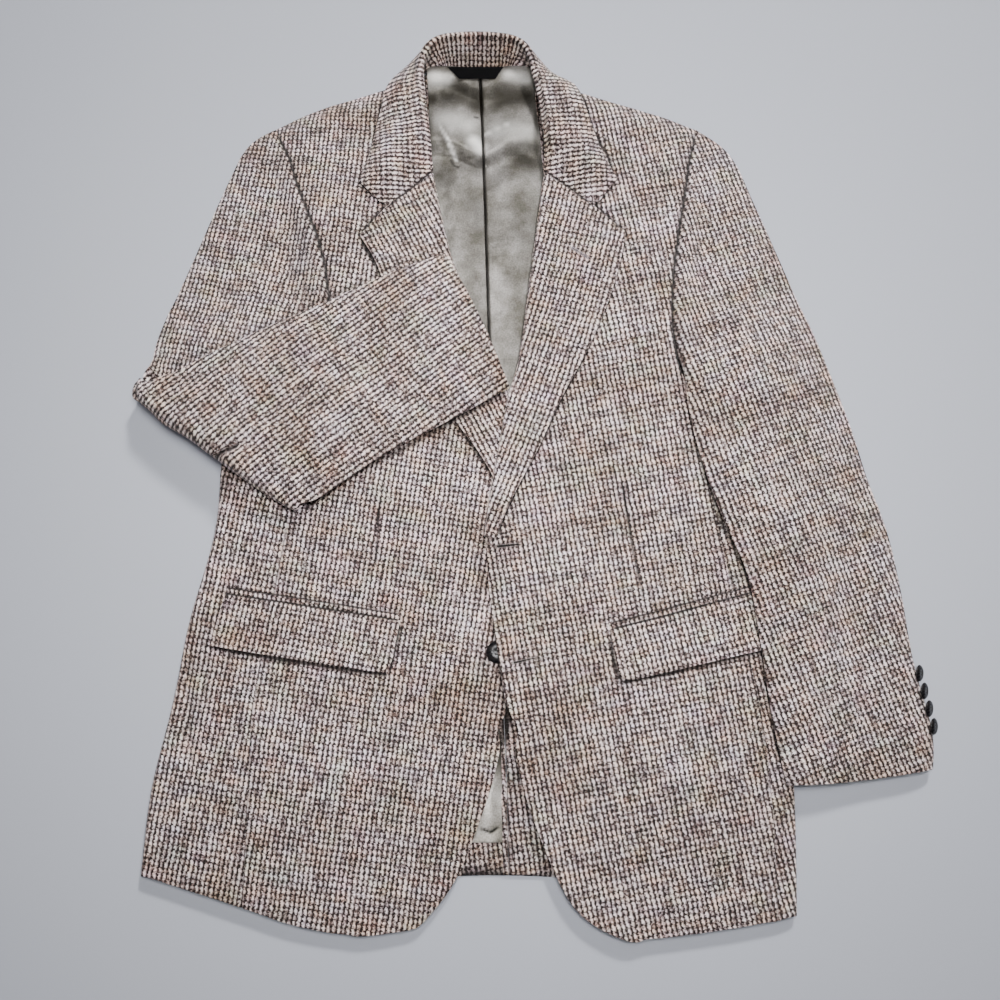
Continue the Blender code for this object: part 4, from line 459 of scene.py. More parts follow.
def satin_material(name, painted_lift):
    """The lining's satin: grey-green, with painted highlights where its folds face the light and painted shade where
    they turn away and in its pleat.
    """
    m = Nodes(name)
    uv = m.add("ShaderNodeUVMap", uv_map="weave").outputs[0]
    cloud = m.noise(uv, 34.0, 4.0, 0.6)
    colour = m.colours(cloud.outputs["Fac"], [(0.32, (0.095, 0.088, 0.074)), (0.50, (0.165, 0.154, 0.140)),
                                              (0.68, (0.250, 0.236, 0.223))])
    grain = m.noise(uv, 620.0, 2.0, 0.6)
    colour = m.mix(0.8, colour, m.colours(grain.outputs["Fac"], [(0.30, (0.72, 0.72, 0.70)), (0.70, (1.22, 1.22, 1.22))]),
                   "MULTIPLY")
    # Painted light: the whole satin made lighter by this factor, for the skirt lining's lighter copy.
    colour = m.mix(1.0, colour, (painted_lift, painted_lift, painted_lift, 1.0), "MULTIPLY")
    # Painted highlight on the folds that catch the light.
    painted_shine = m.add("ShaderNodeAttribute", attribute_name="painted_shine").outputs["Fac"]
    colour = m.mix(m.maths("MULTIPLY", painted_shine, 0.85), colour, (0.86, 0.84, 0.80, 1.0))
    # Painted shade: near black in the centre pleat and along narrow creases.
    painted_seam_shadow = m.add("ShaderNodeAttribute", attribute_name="painted_seam_shadow").outputs["Fac"]
    colour = m.mix(m.maths("MULTIPLY", painted_seam_shadow, 0.97), colour, (0.004, 0.004, 0.003, 1.0))
    # Painted shade of the folds that turn from the light.
    painted_dim = m.add("ShaderNodeAttribute", attribute_name="painted_dim").outputs["Fac"]
    colour = m.mix(m.maths("MULTIPLY", painted_dim, 0.95), colour, (0.014, 0.012, 0.008, 1.0))
    m.feed(m.shader.inputs["Base Color"], colour)
    m.shader.inputs["Metallic"].default_value = 0.35
    m.shader.inputs["Roughness"].default_value = 0.36
    m.shader.inputs["Specular IOR Level"].default_value = 0.10
    wave = m.add("ShaderNodeTexWave", [(0, uv)], wave_type="BANDS", bands_direction="DIAGONAL")
    wave.inputs["Scale"].default_value = 900.0
    creases = m.noise(uv, 60.0, 4.0, 0.6)
    height = m.maths("ADD", m.maths("MULTIPLY", wave.outputs["Fac"], 0.10), creases.outputs["Fac"])
    bump = m.add("ShaderNodeBump", [("Height", height)])
    bump.inputs["Strength"].default_value = 0.45
    bump.inputs["Distance"].default_value = 0.0024
    m.feed(m.shader.inputs["Normal"], bump.outputs[0])
    return m.material


def label_material():
    """Plain black woven label."""
    m = Nodes("label_cloth")
    place = m.add("ShaderNodeTexCoord").outputs["Object"]
    rib = m.add("ShaderNodeTexWave", [(0, place)], wave_type="BANDS", bands_direction="Y")
    rib.inputs["Scale"].default_value = 620.0
    colour = m.colours(rib.outputs["Fac"], [(0.0, (0.003, 0.003, 0.004)), (1.0, (0.010, 0.010, 0.011))])
    m.feed(m.shader.inputs["Base Color"], colour)
    m.shader.inputs["Roughness"].default_value = 0.85
    m.shader.inputs["Specular IOR Level"].default_value = 0.15
    bump = m.add("ShaderNodeBump", [("Height", rib.outputs["Fac"])])
    bump.inputs["Distance"].default_value = 0.0003
    m.feed(m.shader.inputs["Normal"], bump.outputs[0])
    return m.material


def horn_material():
    """Polished dark horn with faint brown streaks."""
    m = Nodes("horn_polished")
    place = m.add("ShaderNodeTexCoord").outputs["Object"]
    streak = m.add("ShaderNodeMapping", [(0, place), ("Scale", (1.0, 5.0, 1.0))])
    cloud = m.add("ShaderNodeTexNoise", [("Vector", streak.outputs[0])])
    cloud.inputs["Scale"].default_value = 140.0
    colour = m.colours(cloud.outputs["Fac"], [(0.35, (0.003, 0.003, 0.004)), (0.75, (0.014, 0.011, 0.010))])
    m.feed(m.shader.inputs["Base Color"], colour)
    rough = m.ramp(cloud.outputs["Fac"], 0.3, 0.8, 0.26, 0.38)
    m.feed(m.shader.inputs["Roughness"], rough)
    m.shader.inputs["Specular IOR Level"].default_value = 0.22
    return m.material


def thread_material(name, dark, light):
    """Twisted sewing thread."""
    m = Nodes(name)
    place = m.add("ShaderNodeTexCoord").outputs["Object"]
    cloud = m.add("ShaderNodeTexNoise", [("Vector", place)])
    cloud.inputs["Scale"].default_value = 900.0
    colour = m.colours(cloud.outputs["Fac"], [(0.35, dark), (0.65, light)])
    m.feed(m.shader.inputs["Base Color"], colour)
    m.shader.inputs["Roughness"].default_value = 0.8
    m.shader.inputs["Sheen Weight"].default_value = 0.3
    bump = m.add("ShaderNodeBump", [("Height", cloud.outputs["Fac"])])
    bump.inputs["Distance"].default_value = 0.0002
    m.feed(m.shader.inputs["Normal"], bump.outputs[0])
    return m.material


def slit_material():
    """Near black for a buttonhole's slit and a button's holes: painted shade where the openings are."""
    m = Nodes("slit_painted_shade")
    place = m.add("ShaderNodeTexCoord").outputs["Object"]
    cloud = m.add("ShaderNodeTexNoise", [("Vector", place)])
    cloud.inputs["Scale"].default_value = 700.0
    m.feed(m.shader.inputs["Base Color"], m.colours(cloud.outputs["Fac"], [(0.3, (0.004, 0.003, 0.003)),
                                                                       (0.8, (0.018, 0.013, 0.012))]))
    m.shader.inputs["Roughness"].default_value = 1.0
    return m.material


# ---------------------------------------------------------------- cloth shells
def node_cage(name):
    """The solid's mesh as a control cage of quads, with its wall's edges and corners kept crisp."""
    cage = bmesh.new()
    cage.from_mesh(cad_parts[name].data)
    bmesh.ops.remove_doubles(cage, verts=cage.verts, dist=1e-5)
    bmesh.ops.join_triangles(cage, faces=cage.faces[:], angle_face_threshold=math.radians(70.0),
                             angle_shape_threshold=math.radians(150.0), topology_influence=1.2)
    bmesh.ops.recalc_face_normals(cage, faces=cage.faces[:])
    crisp = cage.edges.layers.float.new("crease_edge")
    firm = cage.verts.layers.float.new("crease_vert")
    for edge in cage.edges:
        if edge.is_manifold and edge.calc_face_angle(0.0) > math.radians(52.0):
            edge[crisp] = 0.55
    for vert in cage.verts:
        ways = [(edge.other_vert(vert).co - vert.co).normalized() for edge in vert.link_edges
                if edge[crisp] and abs((edge.other_vert(vert).co - vert.co).normalized().z) < 0.7]
        if len(ways) == 2 and ways[0].angle(ways[1]) < math.radians(CORNER_ANGLE):
            vert[firm] = 0.9
    mesh = bpy.data.meshes.new(name + "_cage")
    cage.to_mesh(mesh)
    cage.free()
    return mesh


def flat_sheet(name):
    """A flat solid's mesh, cut finer without smoothing."""
    form = bmesh.new()
    form.from_mesh(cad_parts[name].data)
    bmesh.ops.remove_doubles(form, verts=form.verts, dist=1e-5)
    for _ in range(3):
        long = [edge for edge in form.edges if edge.calc_length() > 0.014]
        bmesh.ops.subdivide_edges(form, edges=long, cuts=1, use_grid_fill=True)
        bmesh.ops.triangulate(form, faces=[face for face in form.faces if len(face.verts) > 4])
    mesh = bpy.data.meshes.new(name + "_flat")
    form.to_mesh(mesh)
    form.free()
    return mesh


def coordinates(mesh):
    """A mesh's vertices as an array."""
    co = np.empty(len(mesh.vertices) * 3)
    mesh.vertices.foreach_get("co", co)
    return co.reshape(-1, 3)


def set_coordinates(mesh, co):
    """Write an array back to a mesh's vertices."""
    mesh.vertices.foreach_set("co", co.ravel())
    mesh.update()


def subdivided(cage, level):
    """A smooth mesh through the cage's own points."""
    holder = bpy.data.objects.new("holder", cage)
    bpy.context.scene.collection.objects.link(holder)
    smooth = holder.modifiers.new("smooth", "SUBSURF")
    smooth.levels = level
    smooth.render_levels = level
    goal = coordinates(cage)
    for _ in range(3):
        bpy.context.view_layer.update()
        made = holder.evaluated_get(bpy.context.evaluated_depsgraph_get())
        now = coordinates(made.data)[:len(goal)]
        set_coordinates(cage, coordinates(cage) + (goal - now) * 0.9)
    bpy.context.view_layer.update()
    made = holder.evaluated_get(bpy.context.evaluated_depsgraph_get())
    mesh = bpy.data.meshes.new_from_object(made)
    bpy.data.objects.remove(holder)
    return mesh


def line_distance(xy, line):
    """Distance of each point from a line, and where along the line it lies, from 0 to 1."""
    points = np.array(line)
    lengths = np.hypot(*(points[1:] - points[:-1]).T)
    total = lengths.sum()
    best = np.full(len(xy), 9.0)
    place = np.zeros(len(xy))
    start = 0.0
    for a, b, length in zip(points, points[1:], lengths):
        t = np.clip(((xy - a) @ (b - a)) / length ** 2, 0.0, 1.0)
        away = np.hypot(*(xy - (a + t[:, None] * (b - a))).T)
        nearer = away < best
        best = np.where(nearer, away, best)
        place = np.where(nearer, (start + t * length) / total, place)
        start += length
    return best, place


def refine(name, mesh):
    """Cut the cloth finer along its narrow seams and creases."""
    lines = [(line, width) for pieces, _, width, _, line in RELIEF if name in pieces.split() and width < 0.0045]
    if name in BILLOWS:
        lines.append((CENTRE_BACK, PLEAT_HALF / 2.0))
    if not lines:
        return mesh
    form = bmesh.new()
    form.from_mesh(mesh)
    for _ in range(2):
        edges = [edge for edge in form.edges if edge.verts[0].normal.z + edge.verts[1].normal.z > 0.3]
        middles = np.array([(edge.verts[0].co + edge.verts[1].co)[:2] for edge in edges]) / 2.0
        lengths = np.array([edge.calc_length() for edge in edges])
        close = np.zeros(len(edges), bool)
        for line, width in lines:
            away, _ = line_distance(middles, [(x + SHIFT.x, y + SHIFT.y) for x, y in line])
            close |= (away < lengths * 0.5 + 2.2 * width) & (lengths > width * 0.75)
        bmesh.ops.subdivide_edges(form, edges=[edges[k] for k in np.flatnonzero(close)], cuts=1, use_grid_fill=True)
    bmesh.ops.triangulate(form, faces=[face for face in form.faces if len(face.verts) > 4])
    finer = bpy.data.meshes.new(name + "_fine")
    form.to_mesh(finer)
    form.free()
    return finer


def relieve(name, co):
    """Sink the seams, press the ends and raise the folds and edges of a piece."""
    for piece, share, reach, low, high, line in PRESSED:
        if piece == name:
            away, place = line_distance(co[:, :2], [(x + SHIFT.x, y + SHIFT.y) for x, y in line])
            base = low + (high - low) * place
            kept = share + (1.0 - share) * smoothstep(away / reach)
            co[:, 2] = np.where(co[:, 2] > base, base + (co[:, 2] - base) * kept, co[:, 2])
    for pieces, rise, width, ends, line in RELIEF:
        if name not in pieces.split():
            continue
        away, place = line_distance(co[:, :2], [(x + SHIFT.x, y + SHIFT.y) for x, y in line])
        fade = smoothstep(place / ends) * smoothstep((1.0 - place) / ends)
        if name == "sleeve_right_under":
            fade = fade * smoothstep((co[:, 2] - 0.012) / 0.010)
        if ends > 0.1:
            fade = 0.12 + 0.88 * fade
        co[:, 2] += rise * np.exp(-(away / width) ** 2) * fade * (away < 3.0 * width)


def billow(name, co):
    """Puff the lining up beside its centre pleat and in soft folds across it."""
    x, y = co[:, 0] - SHIFT.x, co[:, 1] - SHIFT.y
    centre = np.interp(y, [row[1] for row in CENTRE_BACK], [row[0] for row in CENTRE_BACK])
    away = np.abs(x - centre)
    beside = smoothstep((away - 0.0004) / PLEAT_HALF)
    if name == "lining_right":
        beside = smoothstep((away + 0.0002) / (PLEAT_HALF * 0.7))
    rise = PLEAT_RISE * beside * smoothstep((0.440 - y) / 0.02)
    for crest, height, above, below in BILLOWS[name]:
        slant = crest + 0.22 * (away - 0.025) + 0.004 * np.sin(90.0 * x)
        gap = y - slant
        rise += height * np.exp(-(gap / np.where(gap > 0.0, above, below)) ** 2) * beside
    co[:, 2] += rise
    co[:, 1] += LINING_STRETCH * smoothstep((y - 0.415) / 0.0185)


def nudge(name, co):
    """Shift parts of a piece a little in plan."""
    height = co[:, 2].copy()
    for pieces, place, (low, high), move, reach in NUDGES:
        if name in pieces.split():
            spot = at(*place)
            near = np.exp(-((co[:, 0] - spot.x) ** 2 + (co[:, 1] - spot.y) ** 2) / reach ** 2)
            near = near * smoothstep((height - low) / 0.010 + 0.5) * smoothstep((high - height) / 0.010 + 0.5)
            co[:, 0] += move[0] * near
            co[:, 1] += move[1] * near


def painted_seam_shadow_depth(name, co):
    """How much painted shade each vertex gets, from 0 to 1: in narrow seams and creases, along edges that lie on it, in
    the lining's pleat, and a little over the back between the fronts.
    """
    shade = np.zeros(len(co))
    for pieces, rise, width, ends, line in RELIEF:
        if name in pieces.split() and rise < 0.0 and width < 0.0045:
            away, place = line_distance(co[:, :2], [(x + SHIFT.x, y + SHIFT.y) for x, y in line])
            fade = smoothstep(place / ends) * smoothstep((1.0 - place) / ends)
            depth = min(1.0, -rise / 0.0010)
            shade = np.maximum(shade, depth * fade * np.exp(-(away / max(0.0012, 0.70 * width)) ** 4))
    if name in FLAT:
        shade = np.maximum(shade, BACK_SHADE)
    if name in BILLOWS:
        away = line_distance(co[:, :2], [(x + SHIFT.x, y + SHIFT.y) for x, y in CENTRE_BACK])[0]
        shade = np.maximum(shade, np.exp(-(away / 0.0006) ** 2))
    return shade


def painted_fold_shine(co):
    """How much painted highlight each vertex of the satin gets on a fold that catches the light, from 0 to 1."""
    painted_shine = np.zeros(len(co))
    for strength, width, line in PAINTED_SHINES:
        away = line_distance(co[:, :2], [(x + SHIFT.x, y + SHIFT.y) for x, y in line])[0]
        painted_shine = np.maximum(painted_shine, strength * np.exp(-(away / width) ** 2))
    return painted_shine


def painted_fold_dim(co):
    """How much painted shade each vertex of the satin gets where its fold turns from the light, from 0 to 1."""
    x, y = co[:, 0] - SHIFT.x, co[:, 1] - SHIFT.y
    shade = np.zeros(len(co))
    for left, low, half, above, below, depth in PAINTED_DIMS:
        gap = y - low - 0.003 * np.sin(110.0 * x)
        across = np.exp(-(np.abs(x - left) / half) ** 3)
        shade = np.maximum(shade, depth * across * np.exp(-(np.abs(gap) / np.where(gap > 0.0, above, below)) ** 3))
    return shade


def paint(mesh, name, values):
    """Store one number per vertex for the cloth's shader."""
    layer = mesh.attributes.new(name, "FLOAT", "POINT")
    layer.data.foreach_set("value", values.astype(np.float32))


def undulate(co, amount, seed):
    """Give the cloth the slight unevenness of something laid by hand."""
    for k, (x, y, _) in enumerate(co):
        broad = noise.noise(Vector((x * 9.0, y * 7.0, seed)))
        fine = noise.noise(Vector((x * 30.0, y * 22.0, seed + 5.0)))
        co[k, 2] += amount * (0.7 * broad + 0.3 * fine)


def neighbours_mean(values, edges, count):
    """Mean of each vertex's neighbours."""
    total = np.bincount(edges[:, 0], values[edges[:, 1]], count) + np.bincount(edges[:, 1], values[edges[:, 0]], count)
    number = np.bincount(edges[:, 0], minlength=count) + np.bincount(edges[:, 1], minlength=count)
    return total / np.maximum(number, 1)


def settle(mesh, co, below, wall, keep=0.0004):
    """Raise a piece where it would sink into the pieces that it lies on."""
    normals = np.empty(len(co) * 3)
    mesh.vertices.foreach_get("normal", normals)
    normals = normals.reshape(-1, 3)
    rise = np.zeros(len(co))
    for k, (x, y, z) in enumerate(co):
        above = wall if normals[k, 2] > 0.3 else 0.0
        for tree in below:
            hit = tree.ray_cast(Vector((x, y, 0.2)), -UP)[0]
            if hit is not None:
                rise[k] = max(rise[k], hit.z + keep + above - z)
    rise = np.clip(rise, 0.0, 0.006)
    edges = np.empty(len(mesh.edges) * 2, int)
    mesh.edges.foreach_get("vertices", edges)
    edges = edges.reshape(-1, 2)
    for _ in range(6):
        rise = np.maximum(rise, neighbours_mean(rise, edges, len(co)) * 0.97)
    co[:, 2] += rise
    return rise


def path_place(points, line):
    """Arc length along a line and distance from it, for each point."""
    line = np.array(line)
    steps = line[1:] - line[:-1]
    lengths = np.hypot(*steps.T)
    best = np.full(len(points), 9.0)
    along = np.zeros(len(points))
    start = 0.0
    for a, step, length in zip(line, steps, lengths):
        raw = ((points - a) @ step) / length ** 2
        t = np.clip(raw, 0.0, 1.0)
        gap = points - (a + t[:, None] * step)
        away = np.hypot(*gap.T)
        nearer = away < best
        best = np.where(nearer, away, best)
        along = np.where(nearer, start + t * length, along)
        start += length
    return along, best


def dense_line(rows, steps=10):
    """A smooth line through table rows."""
    points = [Vector((x, y)) for x, y in rows]
    ring = [points[0] * 2.0 - points[1]] + points + [points[-1] * 2.0 - points[-2]]
    fine = []
    for k in range(1, len(ring) - 2):
        a, b, c, d = ring[k - 1:k + 3]
        for step in range(steps):
            t = step / steps
            fine.append(0.5 * (2.0 * b + (c - a) * t + (2.0 * a - 5.0 * b + 4.0 * c - d) * t * t
                               + (3.0 * b - a - 3.0 * c + d) * t ** 3))
    fine.append(points[-1])
    return [tuple(p) for p in fine]


def weave_map(name, mesh):
    """Lay the weave on a piece: u across the warp and v along it, in metres."""
    co = coordinates(mesh) - np.array(SHIFT)
    layer = mesh.uv_layers.get("weave") or mesh.uv_layers.new(name="weave")
    loops = np.empty(len(mesh.loops), int)
    mesh.loops.foreach_get("vertex_index", loops)
    normals = np.empty(len(mesh.polygons) * 3)
    mesh.polygons.foreach_get("normal", normals)
    sizes = np.empty(len(mesh.polygons), int)
    mesh.polygons.foreach_get("loop_total", sizes)
    face = np.repeat(normals.reshape(-1, 3), sizes, axis=0)
    z = co[loops, 2]
    if name == "collar":
        along, away = path_place(co[:, :2], dense_line(COLLAR_FOLD))
        drop = np.maximum(0.0, COLLAR_CREST_Z - 0.004 - co[:, 2]) * smoothstep((co[:, 1] - 0.385) / 0.04)
        u, v = along[loops], np.hypot(away, drop)[loops]
    else:
        base, rows = GRAIN.get(name, (0.0, [(-0.4, 0.0), (0.4, 0.0)]))
        turn = math.radians(base)
        x = co[:, 0] * math.cos(turn) - co[:, 1] * math.sin(turn)
        y = co[:, 0] * math.sin(turn) + co[:, 1] * math.cos(turn)
        places = np.linspace(-0.6, 0.6, 601)
        lean = np.radians(np.interp(places, [r[0] for r in rows], [r[1] for r in rows]))
        drift = np.concatenate([[0.0], np.cumsum((np.tan(lean[1:]) + np.tan(lean[:-1])) / 2.0 * 0.002)])
        reach = np.concatenate([[0.0], np.cumsum(0.002 / np.cos(lean[1:]))])
        here = np.interp(y, places, lean)
        off = x - (np.interp(y, places, drift) - np.interp(0.0, places, drift))
        u = (off * np.cos(here))[loops]
        v = (np.interp(y, places, reach) + off * np.sin(here))[loops]
        tilt = turn + here[loops]
        across = face[:, 0] * np.cos(tilt) - face[:, 1] * np.sin(tilt)
        along = face[:, 0] * np.sin(tilt) + face[:, 1] * np.cos(tilt)
        steep = np.abs(face[:, 2]) < 0.55
        sideways = np.abs(across) > np.abs(along)
        u = np.where(steep & sideways, u - z * np.sign(across), u)
        v = np.where(steep & ~sideways, v - z * np.sign(along), v)
    start = (sum(ord(c) * (k + 3) for k, c in enumerate(name)) % 97) * 0.05
    layer.data.foreach_set("uv", np.column_stack([u + start, v + start * 0.7]).ravel())


def make_cloth(name, finish, slot, surfaces):
    """One piece of cloth: a fine shell on its solid's form, creased and settled."""
    level, width, length, area, rests_on = CLOTH[name]
    if name in FLAT:
        mesh = refine(name, flat_sheet(name))
    else:
        mesh = refine(name, subdivided(node_cage(name), level))
    co = coordinates(mesh)
    if name == "sleeve_right_fold":
        co[:, 2] -= 0.0015 * smoothstep((co[:, 2] - 0.022) / 0.008)
    if name == "breast_welt":
        co[:, 2] -= 0.0009
    nudge(name, co)
    relieve(name, co)
    if name in BILLOWS:
        billow(name, co)
    if name not in FLAT:
        amount = 0.0004 if name.startswith("pocket") or name == "breast_welt" else 0.0008
        undulate(co, amount * smoothstep((co[:, 2].max() - 0.002) / 0.01), 3.0)
    co[:, 2] = np.maximum(co[:, 2], 0.0)
    set_coordinates(mesh, co)
    if name in CLEARS:
        wall = 0.0008 if name == "breast_welt" else 0.0018
        settle(mesh, co, [surfaces[below] for below in CLEARS[name]], wall)
    if name == "sleeve_right_under":
        settle_forearm(mesh, co, surfaces)
    set_coordinates(mesh, co)
    # Painted shade for seams, edges and the pleat; on the satin also painted fold shade and painted highlights.
    paint(mesh, "painted_seam_shadow", painted_seam_shadow_depth(name, co))
    if slot == "lining_satin":
        paint(mesh, "painted_dim", painted_fold_dim(co))
        paint(mesh, "painted_shine", painted_fold_shine(co))
    weave_map(name, mesh)
    mesh.materials.clear()
    mesh.materials.append(finish)
    mesh.shade_smooth()
    mesh.set_sharp_from_angle(angle=math.radians(62.0))
    piece = bpy.data.objects.new(name + "_cloth", mesh)
    bpy.context.scene.collection.objects.link(piece)
    surfaces[name] = BVHTree.FromPolygons([Vector(p) for p in co], [tuple(p.vertices) for p in mesh.polygons])
    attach(piece, "root")
    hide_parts(name)
    return piece


def settle_forearm(mesh, co, surfaces):
    """Raise the forearm's cloth over the chest and the layers inside it."""
    high = co[:, 2] > 0.016
    below = [surfaces[n] for n in ("front_right", "facing_right", "front_left", "facing_left", "sleeve_right_top",
                                   "sleeve_right_fold")]
    picked = np.flatnonzero(high)
    rise = np.zeros(len(co))
    for k in picked:
        x, y, z = co[k]
        for tree in below:
            hit = tree.ray_cast(Vector((x, y, 0.2)), -UP)[0]
            if hit is not None and hit.z - z < 0.004:
                rise[k] = max(rise[k], hit.z + 0.0003 - z)
    edges = np.empty(len(mesh.edges) * 2, int)
    mesh.edges.foreach_get("vertices", edges)
    edges = edges.reshape(-1, 2)
    for _ in range(6):
        rise = np.maximum(rise, neighbours_mean(rise, edges, len(co)) * 0.97)
    co[:, 2] += np.where(high, rise, 0.0)


# ---------------------------------------------------------------- buttons and sewing
def new_piece(name, mesh, finish, smooth=True):
    """A piece that rides on the jacket."""
    mesh.materials.append(finish)
    if smooth:
        mesh.shade_smooth()
        mesh.set_sharp_from_angle(angle=math.radians(40.0))
    piece = bpy.data.objects.new(name, mesh)
    bpy.context.scene.collection.objects.link(piece)
    return piece


def turned(profile, steps):
    """A closed turned form from a half section that starts and ends on the axis."""
    form = bmesh.new()
    rings = []
    for r, z in profile:
        if r < 1e-6:
            rings.append([form.verts.new((0.0, 0.0, z))])
        else:
            rings.append([form.verts.new((r * math.cos(math.tau * k / steps), r * math.sin(math.tau * k / steps), z))
                          for k in range(steps)])
    for low, high in zip(rings, rings[1:]):
        for k in range(steps):
            a, b = low[k % len(low)], low[(k + 1) % len(low)]
            c, d = high[(k + 1) % len(high)], high[k % len(high)]
            form.faces.new([v for n, v in enumerate((a, b, c, d)) if v not in (a, b, c, d)[:n]])
    bmesh.ops.recalc_face_normals(form, faces=form.faces[:])
    return form


def button_mesh(name, radius, height):
    """A four-hole button with a shallow middle and a rounded rim."""
    r, h = radius, height
    profile = [(0.0, h * 0.93), (r * 0.26, h * 0.935), (r * 0.36, h * 0.96), (r * 0.44, h), (r * 0.56, h * 0.985),
               (r * 0.70, h * 0.92), (r * 0.83, h * 0.81), (r * 0.93, h * 0.66), (r * 0.985, h * 0.50), (r, h * 0.40),
               (r * 0.97, h * 0.26), (r * 0.86, h * 0.08), (r * 0.60, 0.0), (0.0, 0.0)]
    form = turned(profile, 40)
    mesh = bpy.data.meshes.new(name)
    form.to_mesh(mesh)
    form.free()
    return mesh


def disc_mesh(name, spots, radius, thickness):
    """Small near-black discs: painted shade standing in for the holes of a button."""
    form = bmesh.new()
    for x, y, z in spots:
        made = bmesh.ops.create_cone(form, cap_ends=True, segments=12, radius1=radius, radius2=radius, depth=thickness)
        bmesh.ops.translate(form, verts=made["verts"], vec=(x, y, z))
    mesh = bpy.data.meshes.new(name)
    form.to_mesh(mesh)
    form.free()
    return mesh


def strand(form, a, b, radius, sag=0.0, steps=5, sides=6):
    """A thread from a to b that arches by `sag`, added to a form."""
    a, b = Vector(a), Vector(b)
    along = (b - a).normalized()
    side = along.orthogonal().normalized()
    other = along.cross(side)
    rings = []
    for k in range(steps + 1):
        t = k / steps
        centre = a.lerp(b, t) + UP * sag * math.sin(math.pi * t)
        girth = radius * (0.55 + 0.45 * math.sin(math.pi * min(max(t, 0.08), 0.92)))
        rings.append([form.verts.new(centre + (side * math.cos(math.tau * n / sides)
                                               + other * math.sin(math.tau * n / sides)) * girth)
                      for n in range(sides)])
    for low, high in zip(rings, rings[1:]):
        for n in range(sides):
            form.faces.new([low[n], low[(n + 1) % sides], high[(n + 1) % sides], high[n]])
    form.faces.new(rings[0][::-1])
    form.faces.new(rings[-1])


def dress_button(node, axis, radius, height, horn, thread, dark, move=(0.0, 0.0, 0.0)):
    """Replace a button's solid with its fine form, holes and sewing thread."""
    low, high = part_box(node)
    axis = Vector(axis).normalized()
    middle = (low + high) / 2.0 + Vector(move)
    back = middle - axis * (height / 2.0)
    turn = UP.rotation_difference(axis)
    spread = radius * 0.17
    floor_z = height * 0.94
    spots = [(sx * spread, sy * spread, floor_z + 0.00002) for sx in (-1, 1) for sy in (-1, 1)]
    body = new_piece(node + "_horn", button_mesh(node + "_horn", radius, height), horn)
    # The holes: near-black discs of painted shade.
    holes = new_piece(node + "_holes", disc_mesh(node + "_holes", spots, radius * 0.085, 0.0002), dark)
    form = bmesh.new()
    for sy in (-1, 1):
        for lane in (-0.35, 0.35):
            y = sy * spread + lane * radius * 0.07
            strand(form, (-spread, y, floor_z), (spread, y, floor_z), radius * 0.040, radius * 0.05)
    mesh = bpy.data.meshes.new(node + "_thread")
    form.to_mesh(mesh)
    form.free()
    sewing = new_piece(node + "_thread", mesh, thread)
    for piece in (body, holes, sewing):
        piece.rotation_mode = "QUATERNION"
        piece.rotation_quaternion = turn
        piece.location = back
    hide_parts(node)
    for piece in (body, holes, sewing):
        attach(piece, "root")


def surface_height(surfaces, names, x, y):
    """Height of the cloth at a place."""
    best = 0.0
    for name in names:
        hit = surfaces[name].ray_cast(Vector((x, y, 0.2)), -UP)[0]
        if hit is not None:
            best = max(best, hit.z)
    return best


def buttonhole(name, surfaces, on, start, end, finish, dark, slit_width, stitch=0.0021, keyhole=True):
    """A worked buttonhole: close stitches round a slit, drawn as a near-black strip of painted shade."""
    a, b = at(*start), at(*end)
    a.z = b.z = 0.0
    along = (b - a).normalized()
    side = Vector((-along.y, along.x, 0.0))
    length = (b - a).length
    form = bmesh.new()
    count = int(length / 0.00085)
    for k in range(count + 1):
        s = length * k / count
        for way in (-1.0, 1.0):
            inner = a + along * s + side * way * slit_width
            outer = a + along * s + side * way * (slit_width + stitch)
            inner.z = surface_height(surfaces, on, inner.x, inner.y) + 0.0002
            outer.z = surface_height(surfaces, on, outer.x, outer.y) + 0.00005
            strand(form, inner, outer, 0.00034, 0.0003, 3, 5)
    for k in range(9 if keyhole else 5):
        turn = math.radians(90.0 + 180.0 * (k + 0.5) / (9 if keyhole else 5))
        way = along * math.cos(turn) + side * math.sin(turn)
        inner = a + way * slit_width
        outer = a + way * (slit_width + stitch)
        inner.z = surface_height(surfaces, on, inner.x, inner.y) + 0.0002
        outer.z = surface_height(surfaces, on, outer.x, outer.y) + 0.00005
        strand(form, inner, outer, 0.00042, 0.0004, 3, 5)
    mesh = bpy.data.meshes.new(name + "_sewing")
    form.to_mesh(mesh)
    form.free()
    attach(new_piece(name + "_sewing", mesh, finish), "root")
    # The slit: a thin near-black strip, painted shade for the opening.
    form = bmesh.new()
    last = None
    steps = 14
    for k in range(steps + 1):
        t = k / steps
        half = slit_width * (1.6 - 1.1 * t) * min(1.0, 8.0 * min(t + 0.06, 1.04 - t))
        centre = a + along * length * t
        pair = []
        for way in (-1.0, 1.0):
            point = centre + side * way * half
            point.z = surface_height(surfaces, on, point.x, point.y) + 0.00022
            pair.append(form.verts.new(point))
        if last:
            form.faces.new([last[0], pair[0], pair[1], last[1]])
        last = pair
    bmesh.ops.recalc_face_normals(form, faces=form.faces[:])
    bmesh.ops.solidify(form, geom=form.faces[:], thickness=0.00012)
    mesh = bpy.data.meshes.new(name + "_slit")
    form.to_mesh(mesh)
    form.free()
    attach(new_piece(name + "_slit", mesh, dark), "root")


